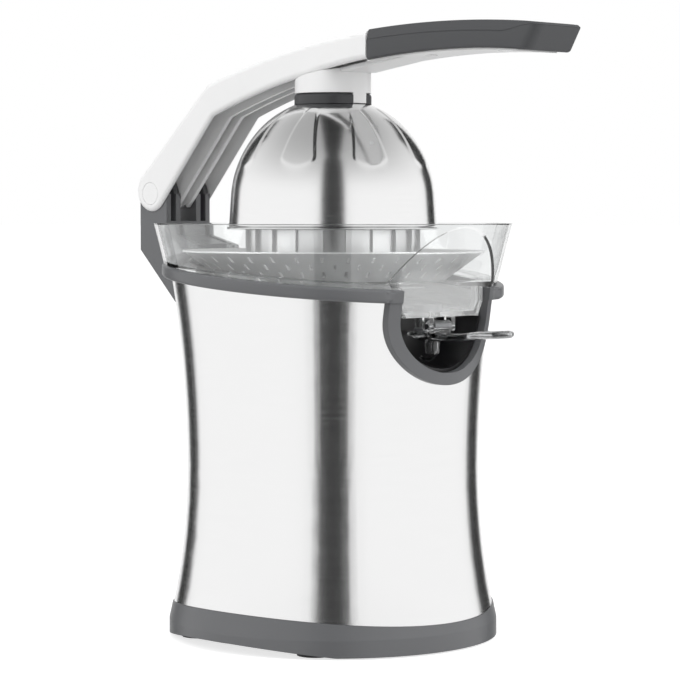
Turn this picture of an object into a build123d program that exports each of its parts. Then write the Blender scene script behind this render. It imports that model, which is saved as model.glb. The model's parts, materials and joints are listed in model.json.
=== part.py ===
from build123d import *
import math
import os

# Citrus press juicer with a lever arm, in millimetres and degrees.
# +Z is up and z = 0 is the worktop. The spindle turns about the Z axis.
# The spout and the grip point to -Y, the hinge stands at +Y.
# "Forward" below is the distance from the spindle towards -Y, "back" the distance towards +Y.

# Fits
running = 0.05  # radial play of a shaft in its bush
seat = 0.1  # gap between pieces that bear on each other
free = 0.4  # gap between pieces that move past each other

# Gear train: motor pinion, compound idler, output gear
motor_module = 1.0
motor_teeth = 12
wheel_teeth = 48
output_module = 1.25
idler_teeth = 14
output_teeth = 56
addendum = 0.8  # tooth height above the pitch circle, in modules
dedendum = 1.25  # tooth depth below the pitch circle, in modules
pressure_angle = 20.0
backlash = 0.5
wheel_face = 8.0
output_face = 9.0
gear_gap = 2.0
gear_hub = 3.0
gear_hub_r = 9.0
motor_offset = 25.0  # spindle axis to motor axis
press_travel = 3.0  # how far the fruit pushes the reamer down

# Motor and its stand
floor_gap = 5.0
tray_wall = 3.0
motor_stand = 14.0
motor_r = 33.0
motor_length = 66.0
motor_can_wall = 1.5
end_bell = 5.0
rotor_r = 16.0
air_gap = 0.6
stator_length = 34.0
coil_length = 8.0
coil_width = 9.0
motor_shaft_r = 3.0
fan_r = 24.0
fan_height = 9.0
fan_blades = 8
blade_thick = 1.6
mount_wall = 4.0
fan_pitch = 35.0
shaft_end = 1.0  # motor shaft past its fan

# Gear case
plate_thick = 6.0
cover_wall = 2.5
roof_thick = 5.0
case_room = 2.0  # tooth tips to cover wall
idler_axle_r = 3.0
idler_wall = 1.2
screw_r = 2.0
screw_head_r = 3.6
screw_head = 2.4

# Spindle, thrust bush and return spring
spindle_r = 5.0
bush_wall = 4.0
lower_bush_wall = 3.0
ring_lip = 1.5
ring_thick = 1.4
ring_depth = 1.2
ring_reach = 2.5
boss_wall = 2.5
boss_rise = 9.0
spring_wire = 1.8
spring_turns = 5
spring_length = 26.0
flange_thick = 3.0
flange_r = 16.0
tab_reach = 30.0
tab_width = 9.0
drive_flat = 8.0  # across the flats of the spindle head
drive_pin_r = 1.5
drive_pin_inset = 1.0  # pin end inside the gear hub

# Start switch
switch_length = 20.0
switch_width = 10.0
switch_height = 14.0
plunger_r = 1.8
plunger_rise = 4.0

# Body shell
waist_room = 7.4  # gear case to shell at the waist
shell_wall = 1.0
waist_height = 95.0
foot_flare = 9.7  # radius gained from the waist down to the foot
foot_height = 10.0
top_flare = 10.2  # radius gained from the waist up to the collar
ring_proud = 0.7  # base skirt outside the shell
skirt_lift = 0.8
skirt_end_height = 15.4  # skirt top at the front and back
skirt_side_height = 22.6  # skirt top at the two sides
arch_height = 5.0  # skirt bottom lifted at the two sides
arch_span = 140.0
lip_rise = 10.0
foot_r = 10.0
foot_inset = 16.0
foot_angle = 37.0
foot_depth = 4.0
vent_length = 26.0
vent_width = 3.0
vent_pitch = 7.0
vent_count = 4
tie_rod_r = 3.0
tie_rod_inset = 9.0
tie_boss_wall = 3.0
tie_boss_rise = 10.0
tie_socket = 7.0
grommet_r = 3.8
grommet_bore_r = 2.6
grommet_length = 12.0
grommet_lip = 1.5

# Collar and deck under the bowl, tilted to drain forward
deck_room = 23.4  # thrust flange to deck
deck_thick = 3.2
deck_rim = 2.0
tilt = 4.93
collar_height = 7.0
collar_proud = 3.8
collar_round = 1.6
seal_wall = 3.0
seal_height = 6.0

# Spout recess
recess_half = 34.6
recess_drop = 30.0  # rounded bottom below the straight sides
recess_below_collar = 15.4  # straight sides end this far under the collar
recess_back = 54.0
bezel_face = 6.6
bezel_proud = 3.4
bezel_sleeve = 2.0
bezel_depth = 9.0
liner_wall = 2.0

# Juice bowl
well_depth = 8.0
well_r = 83.0
bowl_wall = 2.5
rim_overhang = 4.5
rim_rise = 34.6
bowl_flare = 14.0
panel_drop = 1.4  # top of the flat front panel below the rim
panel_tilt = 31.0
spout_forward = 82.0
spout_back = 58.0
spout_half_top = 33.0
spout_half_low = 29.0
spout_depth = 15.4
chimney_bore_r = 11.0
chimney_rise = 22.7
outlet_forward = 70.0
outlet_r = 6.0
outlet_bore_r = 4.0
outlet_length = 6.0
outlet_seal_wall = 2.0
outlet_seal_height = 4.0

# Drip-stop lever
lever_forward = 80.0
lever_drop = 5.0  # pivot below the spout floor
lever_pin_r = 1.5
lever_barrel_r = 3.2
lever_barrel_half = 7.0
ear_thick = 3.0
lever_tip = 132.0
lever_half = 6.5
lever_thumb_half = 11.0
lever_thumb = 107.0
lever_back = 62.0
lever_back_half = 7.5
lever_neck = 6.0  # pivot to the narrow stem
lever_flare = 12.0  # stem to full thumb width
lever_thumb_round = 8.8
lever_thick = 2.4
lever_sink = 3.4  # lever top under the pivot
lever_tip_rise = 3.4
plug_r = 6.5
drip_lip = 9.0

# Strainer basket
strainer_rim_r = 84.0
strainer_rim_drop = 15.5
strainer_base_r = 62.0
strainer_depth = 15.5
strainer_wall = 0.9
hub_wall_gap = 0.3
slot_count = 36
slot_rows = 3
slot_length = 5.0
slot_width = 1.5

# Reamer
reamer_r = 47.0
reamer_skirt_top = 3.0  # skirt edge under the bowl rim
reamer_skirt = 20.0
reamer_wall = 2.4
cone_r = 38.0
cone_height = 50.0
cone_belly_r = 27.4  # radius at half height
cone_tip_r = 5.0
rib_count = 10
rib_thick = 3.0
rib_proud = 4.0
socket_wall = 3.5
socket_depth = 16.0

# Pressing dome
dome_r = 56.7
dome_wall = 1.4
dome_flange = 2.4
dome_below_rim = 3.0  # flange under the bowl rim
dome_wall_height = 23.0
dome_bend_r = 50.5
dome_bend_height = 42.0
dome_bend_lean = 28.0  # outward normal above the horizontal
dome_shoulder_r = 42.0
dome_shoulder_height = 54.5
dome_shoulder_lean = 42.0
dome_brow_r = 33.0
dome_brow_height = 62.7
dome_brow_lean = 55.0
dome_crown_r = 21.0
dome_height = 69.0
dome_crown_lean = 64.0
dome_crown_rise = 2.0  # middle of the crown above its edge
petal_count = 8
petal_depth = 1.4
petal_inner = 25.0
petal_inner_r = 4.6
petal_outer = 45.5
petal_outer_r = 8.8
dome_bore_r = 3.0
hub_r = 21.5
hub_height = 6.0
hub_round = 2.0

# Lever arm
hinge_back = 131.0
hinge_above_rim = 17.0
arm_half = 19.5
arm_wall = 2.0
arm_boss_r = 11.0
arm_roof = 13.5  # pin axis to the outside of the roof
arm_notch = 9.0  # roof starts this far along from the pin, to clear the bracket
arm_pitch = 42.5
arm_under_pitch = 48.0
arm_post = 77.5  # pin to elbow along the roof
elbow_round = 14.0
elbow_under = 17.1  # post depth at the elbow
elbow_setback = 8.6  # inner elbow short of the outer one
elbow_under_round = 5.0
arm_end_forward = 43.3
arm_end_rise = 87.3  # roof above the pin where the grip starts
arm_end_depth = 15.3
arm_crown = 3.8  # bulge of the roof over its chord
arm_under_crown = 3.7
arm_edge = 3.0
rib_half = 4.4
rib_boss_r = 8.2
arm_rib = 2.6
pin_r = 4.0
pin_head_r = 6.5
pin_head = 1.2
sleeve_r = 21.3
sleeve_wall = 2.5
tongue_half = 5.2
sleeve_rise = 17.0
tongue_drop = 6.4

# Grip
grip_length = 122.0
grip_half = 19.5
grip_depth = 16.4
grip_step = 0.7  # grip stands above the arm roof
grip_crown = 2.8
grip_tip_drop = 1.9
grip_under_crown = 3.1
grip_tip_slant = 8.0
grip_tip_depth = 14.0
grip_corner = 6.0
grip_bevel_in = 1.6
grip_bevel_down = 5.2
bar_half = 16.2
bar_depth = 8.0
bar_length = 104.0
bar_show = 0.8  # how far the arm's bar stands out under the grip
grip_screw_near = 30.0  # grip screws along the bar
grip_screw_far = 82.0
keel_half = 12.0
keel_run = 23.0  # keel under the bar, from the start of the grip
keel_drop = 6.5

# Hinge bracket
bracket_half = 17.2
bracket_front = 12.0
bracket_rear = 11.0
bracket_top_r = 10.4
bracket_wall = 3.4
bracket_slot = 4.0
bracket_gap = 6.2
bracket_web = 3.0
bracket_web_drop = 16.0
bracket_shelf_drop = 33.0  # rear face ends this far under the pin
bracket_foot_drop = 70.0
bracket_rear_wall = 2.6
bracket_screw = 14.0

# Gear places
first_centre = motor_module * (motor_teeth + wheel_teeth) / 2
second_centre = output_module * (idler_teeth + output_teeth) / 2
wheel_tip_r = motor_module * (wheel_teeth / 2 + addendum)
output_tip_r = output_module * (output_teeth / 2 + addendum)
idler_y = second_centre
motor_y = (motor_offset**2 + second_centre**2 - first_centre**2) / (2 * second_centre)
motor_x = math.sqrt(motor_offset**2 - motor_y**2)
mesh_angle = math.degrees(math.atan2(motor_y - idler_y, motor_x))

# Levels, from the worktop up
tray_top = floor_gap + tray_wall
motor_low = tray_top + motor_stand
motor_high = motor_low + motor_length
plate_top = motor_high + seat + plate_thick
wheel_low = plate_top + 2 * gear_gap
wheel_high = wheel_low + wheel_face
output_low = wheel_high + gear_gap + press_travel
output_high = output_low + output_face
idler_high = output_high + gear_gap / 2
bush_low = output_high + gear_hub + seat
ring_low = bush_low + ring_lip
ring_high = ring_low + ring_thick
roof_low = ring_high + free
roof_high = roof_low + roof_thick
spring_high = roof_high + spring_length
flange_high = spring_high + flange_thick
deck_low = flange_high + deck_room
collar_level = deck_low + deck_thick + free + well_depth
rim_z = collar_level + rim_rise
spout_floor = collar_level - spout_depth
recess_level = collar_level - recess_below_collar
lever_z = spout_floor - lever_drop
hinge_z = rim_z + hinge_above_rim
dome_low = rim_z - dome_below_rim
hub_low = dome_low + dome_height
sleeve_low = hub_low + hub_height + seat

# Radii that follow from what they hold
bush_r = spindle_r + running + bush_wall
spring_r = bush_r + running + boss_wall + free + spring_wire / 2
waist_r = second_centre + wheel_tip_r + case_room + cover_wall + waist_room + shell_wall
body_foot_r = waist_r + foot_flare
body_top_r = waist_r + top_flare
body_top = collar_level + collar_height + body_top_r * math.tan(math.radians(tilt))
collar_r = body_top_r + collar_proud
rim_r = collar_r + rim_overhang
deck_r = well_r + free + deck_rim
foot_circle = body_foot_r - foot_inset
tie_circle = waist_r - tie_rod_inset
chimney_r = chimney_bore_r + bowl_wall
chimney_top = collar_level + chimney_rise
panel_forward = rim_r - panel_drop * math.tan(math.radians(bowl_flare))
big = 4 * rim_r

grommet_level = skirt_end_height / 2

LOW = (Align.CENTER, Align.CENTER, Align.MIN)
HIGH = (Align.CENTER, Align.CENTER, Align.MAX)


# Shared forms


def disc(radius, low, high, x=0.0, y=0.0):
    return Pos(x, y, low) * Cylinder(radius, high - low, align=LOW)


def tube(outer, inner, low, high, x=0.0, y=0.0):
    return extrude(Pos(x, y, low) * (Circle(outer) - Circle(inner)), high - low)


def block(x0, x1, forward0, forward1, low, high):
    middle = Pos((x0 + x1) / 2, -(forward0 + forward1) / 2, (low + high) / 2)
    return middle * Box(abs(x1 - x0), abs(forward1 - forward0), high - low)


def turned(*corners):
    """A solid of revolution from (radius, height) corners."""
    return revolve(Plane.XZ * make_face(Polyline(*corners, close=True)), Axis.Z)


def turned_edges(*edges):
    return revolve(Plane.XZ * make_face(Curve() + list(edges)), Axis.Z)


def side_cut(face, half, middle=0.0):
    """A plate from a face drawn in (Y, Z), thick along X."""
    return Pos(middle, 0, 0) * extrude(Plane.YZ * face, half, both=True)


def cross_rod(radius, half, back, height):
    return Pos(0, back, height) * Rot(0, 90, 0) * Cylinder(radius, 2 * half)


def above_slant(offset):
    """Everything over a plane that tilts forward with the collar."""
    slant = Pos(0, 0, collar_level + offset) * Rot(tilt, 0, 0)
    return slant * Box(big, big, big, align=LOW)


def below_slant(offset):
    slant = Pos(0, 0, collar_level + offset) * Rot(tilt, 0, 0)
    return slant * Box(big, big, big, align=HIGH)


def body_form(grow=0.0):
    """The waisted body of revolution, grown outwards by a little."""
    waist = (waist_r + grow, waist_height)
    foot = (body_foot_r + grow, foot_height)
    top = (body_top_r + grow, body_top)
    return turned_edges(
        Line((0, 0), (foot[0], 0)),
        Line((foot[0], 0), foot),
        TangentArc(waist, foot, tangent=(0, -1)),
        TangentArc(waist, top, tangent=(0, 1)),
        Line(top, (0, body_top)),
        Line((0, body_top), (0, 0)),
    )


def body_r(height):
    """Outside radius of the shell over the waist."""
    rise = body_top - waist_height
    sweep_r = (rise**2 + top_flare**2) / (2 * top_flare)
    return waist_r + sweep_r - math.sqrt(sweep_r**2 - (height - waist_height) ** 2)


def above_skirt(lift=0.0):
    """Everything over the skirt's top edge, which is higher at the two sides."""
    reach = body_foot_r + tray_wall
    side = skirt_side_height + lift
    end = skirt_end_height + lift
    edge = ThreePointArc((-reach, side), (0, end), (reach, side))
    rest = Polyline((reach, side), (reach, big), (-reach, big), (-reach, side))
    return extrude(Plane.XZ * make_face(Curve() + [edge, rest]), big, both=True)


def recess_prism(grow, forward0, forward1):
    """The U-shaped spout opening, straight sides over a rounded bottom."""
    half = recess_half + grow
    bottom = Ellipse(half, recess_drop + grow)
    sides = Pos(0, rim_rise) * Rectangle(2 * half, 2 * rim_rise)
    outline = Pos(0, recess_level) * (bottom + sides)
    return extrude(Plane.XZ.offset(forward0) * outline, forward1 - forward0)


def bowl_cone_r(height):
    return rim_r - (rim_z - height) * math.tan(math.radians(bowl_flare))


def screw(x, y, low, high, head_up=True):
    shank = disc(screw_r, low, high, x, y)
    if head_up:
        return shank + disc(screw_head_r, high, high + screw_head, x, y)
    return shank + disc(screw_head_r, low - screw_head, low, x, y)


def gear_face(module, teeth, phase):
    """Straight-flanked teeth, one of them centred on the phase angle."""
    pitch_r = module * teeth / 2
    tip_r = pitch_r + addendum * module
    root_r = pitch_r - dedendum * module
    slope = math.tan(math.radians(pressure_angle))
    pitch_half = (math.pi * module / 2 - backlash / 2) / 2
    tip_angle = (pitch_half - addendum * module * slope) / tip_r
    root_angle = (pitch_half + dedendum * module * slope) / root_r
    corners = []
    for tooth in range(teeth):
        middle = math.radians(phase + 360 * tooth / teeth)
        for radius, angle in (
            (root_r, -root_angle),
            (tip_r, -tip_angle),
            (tip_r, tip_angle),
            (root_r, root_angle),
        ):
            corners.append((radius * math.cos(middle + angle), radius * math.sin(middle + angle)))
    return make_face(Polyline(*corners, close=True))


def gear(module, teeth, phase, low, face_width, x=0.0, y=0.0):
    return extrude(Pos(x, y, low) * gear_face(module, teeth, phase), face_width)


def around(count, start=0.0):
    return [Rot(0, 0, start + 360 * turn / count) for turn in range(count)]


# Base


def foot_places():
    spots = []
    for angle in (foot_angle, 180 - foot_angle, 180 + foot_angle, 360 - foot_angle):
        spot = math.radians(angle)
        spots.append((foot_circle * math.cos(spot), foot_circle * math.sin(spot)))
    return spots


def tie_places():
    reach = tie_circle / math.sqrt(2)
    return [(reach, reach), (-reach, reach), (-reach, -reach), (reach, -reach)]


def base_tray():
    skirt = body_form(ring_proud) - body_form(ring_proud - tray_wall)
    skirt = (skirt & disc(big, skirt_lift, skirt_side_height)) - above_skirt()
    arch = ThreePointArc((-arch_span / 2, 0), (0, skirt_lift + arch_height), (arch_span / 2, 0))
    under = make_face(Curve() + [arch, Line((arch_span / 2, 0), (-arch_span / 2, 0))])
    skirt = skirt - side_cut(under, big)
    floor = disc(body_foot_r - tray_wall + ring_proud, floor_gap, tray_top)
    lip_r = body_foot_r - foot_flare / 2
    lip = tube(lip_r - tray_wall, lip_r - 2 * tray_wall, tray_top, tray_top + lip_rise)
    tray = skirt + floor + lip
    for x, y in foot_places():
        tray = tray - disc(foot_r + seat, 0, floor_gap + foot_depth / 2, x, y)
    for x, y in tie_places():
        boss = disc(tie_rod_r + tie_boss_wall, tray_top, tray_top + tie_boss_rise, x, y)
        tray = tray + boss - disc(tie_rod_r + seat, tray_top, tray_top + tie_boss_rise, x, y)
    stand = tube(motor_r + mount_wall, motor_r - mount_wall, tray_top, tray_top + motor_stand / 2)
    tray = tray + Pos(motor_x, motor_y, 0) * stand
    for row in range(vent_count):
        forward = (row - (vent_count - 1) / 2) * vent_pitch
        y = motor_y - forward
        tray = tray - Pos(motor_x, y, floor_gap) * Box(vent_length, vent_width, 4 * tray_wall)
    hole = Rot(90, 0, 0) * Cylinder(grommet_r + seat, 4 * grommet_length)
    return tray - Pos(0, body_foot_r, grommet_level) * hole


def rubber_feet():
    return [disc(foot_r, 0, floor_gap + foot_depth / 2 - seat, x, y) for x, y in foot_places()]


def cord_grommet():
    wall_out = body_foot_r + ring_proud
    stem = Cylinder(grommet_r, grommet_length, align=LOW)
    lip = Cylinder(grommet_r + grommet_lip, grommet_lip, align=HIGH)
    bore = Cylinder(grommet_bore_r, 4 * grommet_length)
    return Pos(0, wall_out + seat, grommet_level) * Rot(90, 0, 0) * (stem + lip - bore)


def tie_rods():
    top = deck_boss_low() + tie_socket
    return [disc(tie_rod_r, tray_top + seat, top, x, y) for x, y in tie_places()]


# Body


def body_shell():
    shell = body_form() - body_form(-shell_wall)
    shell = shell & above_skirt(seat)
    shell = shell & below_slant(-seat)
    shell = shell - recess_prism(bezel_sleeve + seat, 0, big)
    for x, z in bracket_screw_places():
        shell = shell - bracket_screw_hole(x, z)
    return shell


def top_collar():
    ring = tube(collar_r, well_r + free, 0, rim_z)
    band = ring & above_slant(0) & below_slant(collar_height)
    outer_edges = band.edges().filter_by(lambda edge: edge.length > 2 * math.pi * (collar_r - seat))
    band = fillet(outer_edges, collar_round)
    face = recess_prism(bezel_face, 0, big) & (body_form(bezel_proud) - body_form(seat))
    face = face & below_slant(collar_height / 2)
    sleeve = recess_prism(bezel_sleeve, recess_back + bezel_depth, big)
    sleeve = (sleeve & body_form(bezel_proud)) - body_form(-shell_wall - bezel_depth)
    sleeve = sleeve & below_slant(0)
    opening = recess_prism(0, recess_back, big)
    bowl_room = disc(well_r + free, 0, big) & above_slant(-well_depth - free)
    return band + face + sleeve - opening - bowl_room


def recess_liner():
    outside = recess_prism(-seat, recess_back, big)
    inside = recess_prism(-seat - liner_wall, recess_back + liner_wall, big)
    cup = (outside - inside) & body_form(-shell_wall)
    return cup - block(-big, big, -big, big, recess_level - free, big)


def deck_boss_low():
    front_drop = tie_circle * math.tan(math.radians(tilt))
    return deck_low - front_drop - tie_boss_rise


def bowl_deck():
    cup = disc(deck_r, 0, big) & above_slant(-well_depth - free - deck_thick) & below_slant(-seat)
    well = disc(well_r + free, 0, big) & above_slant(-well_depth - free)
    deck = cup - well
    for x, y in tie_places():
        boss = disc(tie_rod_r + tie_boss_wall, deck_boss_low(), collar_level, x, y)
        boss = boss & below_slant(-well_depth - free)
        rod_end = deck_boss_low() + tie_socket
        deck = deck + boss - disc(tie_rod_r + seat, deck_boss_low(), rod_end + seat, x, y)
    seal_r = spindle_r + free + seal_wall
    socket = tube(seal_r + tray_wall, seal_r + seat, deck_low - seal_height, collar_level)
    socket = socket & below_slant(-well_depth - free)
    deck = deck + socket - disc(seal_r + seat, 0, big)
    return deck - recess_prism(bezel_sleeve + free, recess_back - free, big)


def shaft_seal():
    outer = spindle_r + free + seal_wall
    return tube(outer, spindle_r + free, deck_low - seal_height, deck_low)


# Hinge bracket


def bracket_outline():
    pin = (hinge_back, hinge_z)
    front = hinge_back - bracket_front
    rear = hinge_back + bracket_rear
    shelf = hinge_z - bracket_shelf_drop
    foot = hinge_z - bracket_foot_drop
    run = shelf - foot
    tower = Polyline(
        (front, hinge_z),
        (rear, hinge_z),
        (rear, shelf),
        (rear - run, foot),
        (front - run, foot),
        (front - run, shelf),
        (front, shelf + bracket_web_drop / 2),
        close=True,
    )
    return make_face(tower) + Pos(*pin) * Circle(bracket_top_r)


def hinge_bracket():
    corner = Pos(hinge_back + bracket_rear, hinge_z) * Rectangle(2 * bracket_rear, bracket_top_r)
    rounded = bracket_outline() - (corner - Pos(hinge_back, hinge_z) * Circle(bracket_top_r))
    tower = side_cut(rounded, bracket_half)
    web_top = hinge_z - bracket_web_drop
    rear_face = -(hinge_back + bracket_rear)
    gap = block(-bracket_gap, bracket_gap, -hinge_back + big, rear_face - seat, web_top, big)
    tower = tower - gap
    slot_in = bracket_half - bracket_wall - bracket_slot
    slot_out = bracket_half - bracket_wall
    slot_rear = rear_face + bracket_rear_wall
    slot_low = web_top - bracket_web_drop
    for inner, outer in ((slot_in, slot_out), (-slot_out, -slot_in)):
        tower = tower - block(inner, outer, 0, slot_rear, slot_low, web_top - bracket_web)
        tower = tower - block(inner, outer, 0, slot_rear, web_top, big)
    tower = tower - cross_rod(pin_r + running, big, hinge_back, hinge_z)
    seat_form = body_form(seat) & below_slant(collar_height / 2)
    collar_form = disc(collar_r + seat, 0, big) & above_slant(-seat) & below_slant(collar_height + seat)
    bowl_gap = 2 * free
    bowl_room = turned((0, 0), (bowl_cone_r(0) + bowl_gap, 0), (rim_r + bowl_gap, rim_z), (0, rim_z))
    bowl_room = bowl_room & above_slant(collar_height)
    tower = tower - seat_form - collar_form - bowl_room
    for x, z in bracket_screw_places():
        tower = tower - bracket_screw_hole(x, z)
    return tower


def bracket_screw_places():
    x = bracket_gap + screw_r
    low = hinge_z - bracket_foot_drop + 2 * screw_head_r
    return [(x, low), (-x, low)]


def bracket_screw_start(x, z):
    """Where the screw head bears on the inside of the shell."""
    inside = body_r(z - screw_head_r) - shell_wall
    return math.sqrt(inside**2 - (x + screw_head_r) ** 2) - seat


def bracket_screw_hole(x, z):
    start = Pos(x, bracket_screw_start(abs(x), z), z)
    return start * Rot(-90, 0, 0) * Cylinder(screw_r + seat, bracket_screw + seat, align=LOW)


def bracket_screws():
    screws = []
    for x, z in bracket_screw_places():
        shank = Cylinder(screw_r, bracket_screw, align=LOW)
        head = Cylinder(screw_head_r, screw_head, align=HIGH)
        screws.append(Pos(x, bracket_screw_start(abs(x), z), z) * Rot(-90, 0, 0) * (shank + head))
    return screws


# Motor


def motor_mount():
    low = tray_top + motor_stand / 2
    ring = tube(motor_r + mount_wall - seat, motor_r - mount_wall, low + seat, motor_low - seat)
    return Pos(motor_x, motor_y, 0) * ring


def motor_can():
    can = tube(motor_r, motor_r - motor_can_wall, motor_low, motor_high - end_bell)
    foot = tube(motor_r, motor_shaft_r + running, motor_low, motor_low + 2 * motor_can_wall)
    return Pos(motor_x, motor_y, 0) * (can + foot)


def motor_end_bell():
    low = motor_high - end_bell + seat
    return tube(motor_r, motor_shaft_r + running, low, motor_high, motor_x, motor_y)


def stator_band():
    middle = (motor_low + motor_high) / 2
    return middle - stator_length / 2, middle + stator_length / 2


def stator_core():
    low, high = stator_band()
    core = tube(motor_r - motor_can_wall - seat, rotor_r + air_gap, low, high, motor_x, motor_y)
    for side in (-1, 1):
        slot = Pos(motor_x + side * (rotor_r + air_gap + coil_width / 2), motor_y, low)
        core = core - slot * Box(coil_width + 4 * seat, coil_width, 4 * stator_length)
    return core


def field_coils():
    low, high = stator_band()
    coils = []
    for side in (-1, 1):
        start = rotor_r + air_gap + seat
        middle = motor_x + side * (start + coil_width / 2)
        half = coil_width / 2 - seat
        coil = Box(2 * half, 2 * half, high - low + 2 * coil_length)
        coils.append(Pos(middle, motor_y, (low + high) / 2) * coil)
    return coils


def motor_shaft():
    low = motor_low - fan_height - shaft_end
    return disc(motor_shaft_r, low, wheel_high + gear_gap / 2, motor_x, motor_y)


def motor_pinion():
    low = plate_top + gear_gap
    high = wheel_high + gear_gap / 2
    phase = mesh_angle + 180 + 180 / motor_teeth
    pinion = gear(motor_module, motor_teeth, phase, low, high - low, motor_x, motor_y)
    return pinion - disc(motor_shaft_r + seat / 2, low, high, motor_x, motor_y)


def rotor_core():
    low, high = stator_band()
    return tube(rotor_r, motor_shaft_r + seat / 2, low, high, motor_x, motor_y)


def cooling_fan():
    high = motor_low - free
    low = high - fan_height + free
    hub = tube(2 * motor_shaft_r, motor_shaft_r + seat / 2, low, high, 0, 0)
    blade = Box(fan_r - 2 * motor_shaft_r, blade_thick, fan_height - 3 * blade_thick)
    blade = Pos((fan_r + motor_shaft_r) / 2, 0, (low + high) / 2) * Rot(fan_pitch, 0, 0) * blade
    fan = hub
    for turn in around(fan_blades):
        fan = fan + turn * blade
    return Pos(motor_x, motor_y, 0) * fan


# Gear case


def case_outline(grow):
    main = Circle(output_tip_r + case_room + grow)
    rear = Pos(0, idler_y) * Circle(wheel_tip_r + case_room + grow)
    return make_hull(main.edges() + rear.edges())


def case_screw_places():
    around_case = case_room + cover_wall + screw_head_r + free
    half = (output_tip_r + around_case) / math.sqrt(2)
    rear = (wheel_tip_r + around_case) / math.sqrt(2)
    return [(half, -half), (-half, -half), (rear, idler_y + rear), (-rear, idler_y + rear)]


def lug_discs(low, high):
    return [disc(2 * screw_head_r - screw_r, low, high, x, y) for x, y in case_screw_places()]


def gear_plate():
    low = motor_high + seat
    plate = extrude(Pos(0, 0, low) * case_outline(cover_wall), plate_thick)
    for lug in lug_discs(low, plate_top):
        plate = plate + lug
    for x, y in case_screw_places():
        plate = plate - disc(screw_r + seat, low, plate_top, x, y)
    plate = plate - disc(spindle_r + running + lower_bush_wall + seat, low, plate_top)
    plate = plate - disc(motor_shaft_r + 2 * free, low, plate_top, motor_x, motor_y)
    return plate - disc(idler_axle_r + running, low + plate_thick / 2, plate_top, 0, idler_y)


def lower_bush():
    outer = spindle_r + running + lower_bush_wall
    return tube(outer, spindle_r + running, motor_high + seat, plate_top)


def gear_cover():
    low = plate_top + seat
    cover = extrude(Pos(0, 0, low) * case_outline(cover_wall), roof_high - low)
    cover = cover - extrude(Pos(0, 0, low) * case_outline(0), roof_low - low)
    for lug in lug_discs(low, low + plate_thick):
        cover = cover + (lug - extrude(Pos(0, 0, low) * case_outline(cover_wall / 2), roof_low - low))
    for x, y in case_screw_places():
        cover = cover - disc(screw_r + seat, low, low + plate_thick, x, y)
    cover = cover + disc(bush_r + running + boss_wall, roof_low, roof_high + boss_rise)
    cover = cover - disc(bush_r + running, roof_low, roof_high + boss_rise)
    pedestal = switch_block(roof_low, switch_low() - seat)
    cover = cover + (pedestal & extrude(Pos(0, 0, roof_low) * case_outline(cover_wall), big))
    return cover - disc(idler_axle_r + running, roof_low - seat, roof_low + roof_thick / 2, 0, idler_y)


def gear_screws():
    low = motor_high + seat
    return [screw(x, y, low, plate_top + plate_thick + 2 * seat) for x, y in case_screw_places()]


def idler_axle():
    low = plate_top - plate_thick / 2 + seat
    return disc(idler_axle_r, low, roof_low + roof_thick / 2 - seat, 0, idler_y)


def idler_gear():
    wheel = gear(motor_module, wheel_teeth, mesh_angle, wheel_low, wheel_face, 0, idler_y)
    phase = 270 + 180 / idler_teeth
    pinion = gear(output_module, idler_teeth, phase, wheel_high, idler_high - wheel_high, 0, idler_y)
    hub = disc(idler_axle_r + 2 * idler_wall, plate_top + seat + free, wheel_low, 0, idler_y)
    bore = disc(idler_axle_r + running, 0, big, 0, idler_y)
    return wheel + pinion + hub - bore


# Spindle


def head_flats(low, high, gap=0.0):
    width = drive_flat + 2 * gap
    rod = disc(spindle_r + gap, low, high)
    return rod & block(-width / 2, width / 2, -big, big, low, high)


def socket_low():
    return rim_z - reamer_skirt_top - 2 * reamer_wall


def spindle_shaft():
    shaft = disc(spindle_r, motor_high + free + press_travel, socket_low() - seat)
    shaft = shaft + head_flats(socket_low() - seat, socket_low() + socket_depth - seat)
    return shaft - drive_pin_rod(drive_pin_r + seat / 2)


def drive_pin_rod(radius):
    return cross_rod(radius, gear_hub_r - drive_pin_inset, 0, output_high + gear_hub / 2)


def drive_pin():
    return drive_pin_rod(drive_pin_r)


def output_gear():
    toothed = gear(output_module, output_teeth, 90, output_low, output_face)
    hub = disc(gear_hub_r, output_low, output_high + gear_hub)
    bored = toothed + hub - disc(spindle_r + seat / 2, output_low, output_high + gear_hub)
    return bored - drive_pin_rod(drive_pin_r + seat / 2)


def thrust_bush():
    bush = disc(bush_r, bush_low, spring_high) + disc(flange_r, spring_high, flange_high)
    bush = bush + block(-tab_width / 2, tab_width / 2, 0, tab_reach, spring_high, flange_high)
    groove = tube(bush_r + ring_reach, bush_r - ring_depth, ring_low, ring_high)
    return bush - groove - disc(spindle_r + running, bush_low, flange_high)


def retaining_ring():
    inner = bush_r - ring_depth + seat / 2
    ring = tube(bush_r + ring_reach, inner, ring_low + seat / 2, ring_high - seat / 2)
    return ring - block(-ring_reach, ring_reach, 0, big, ring_low, ring_high)


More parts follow.
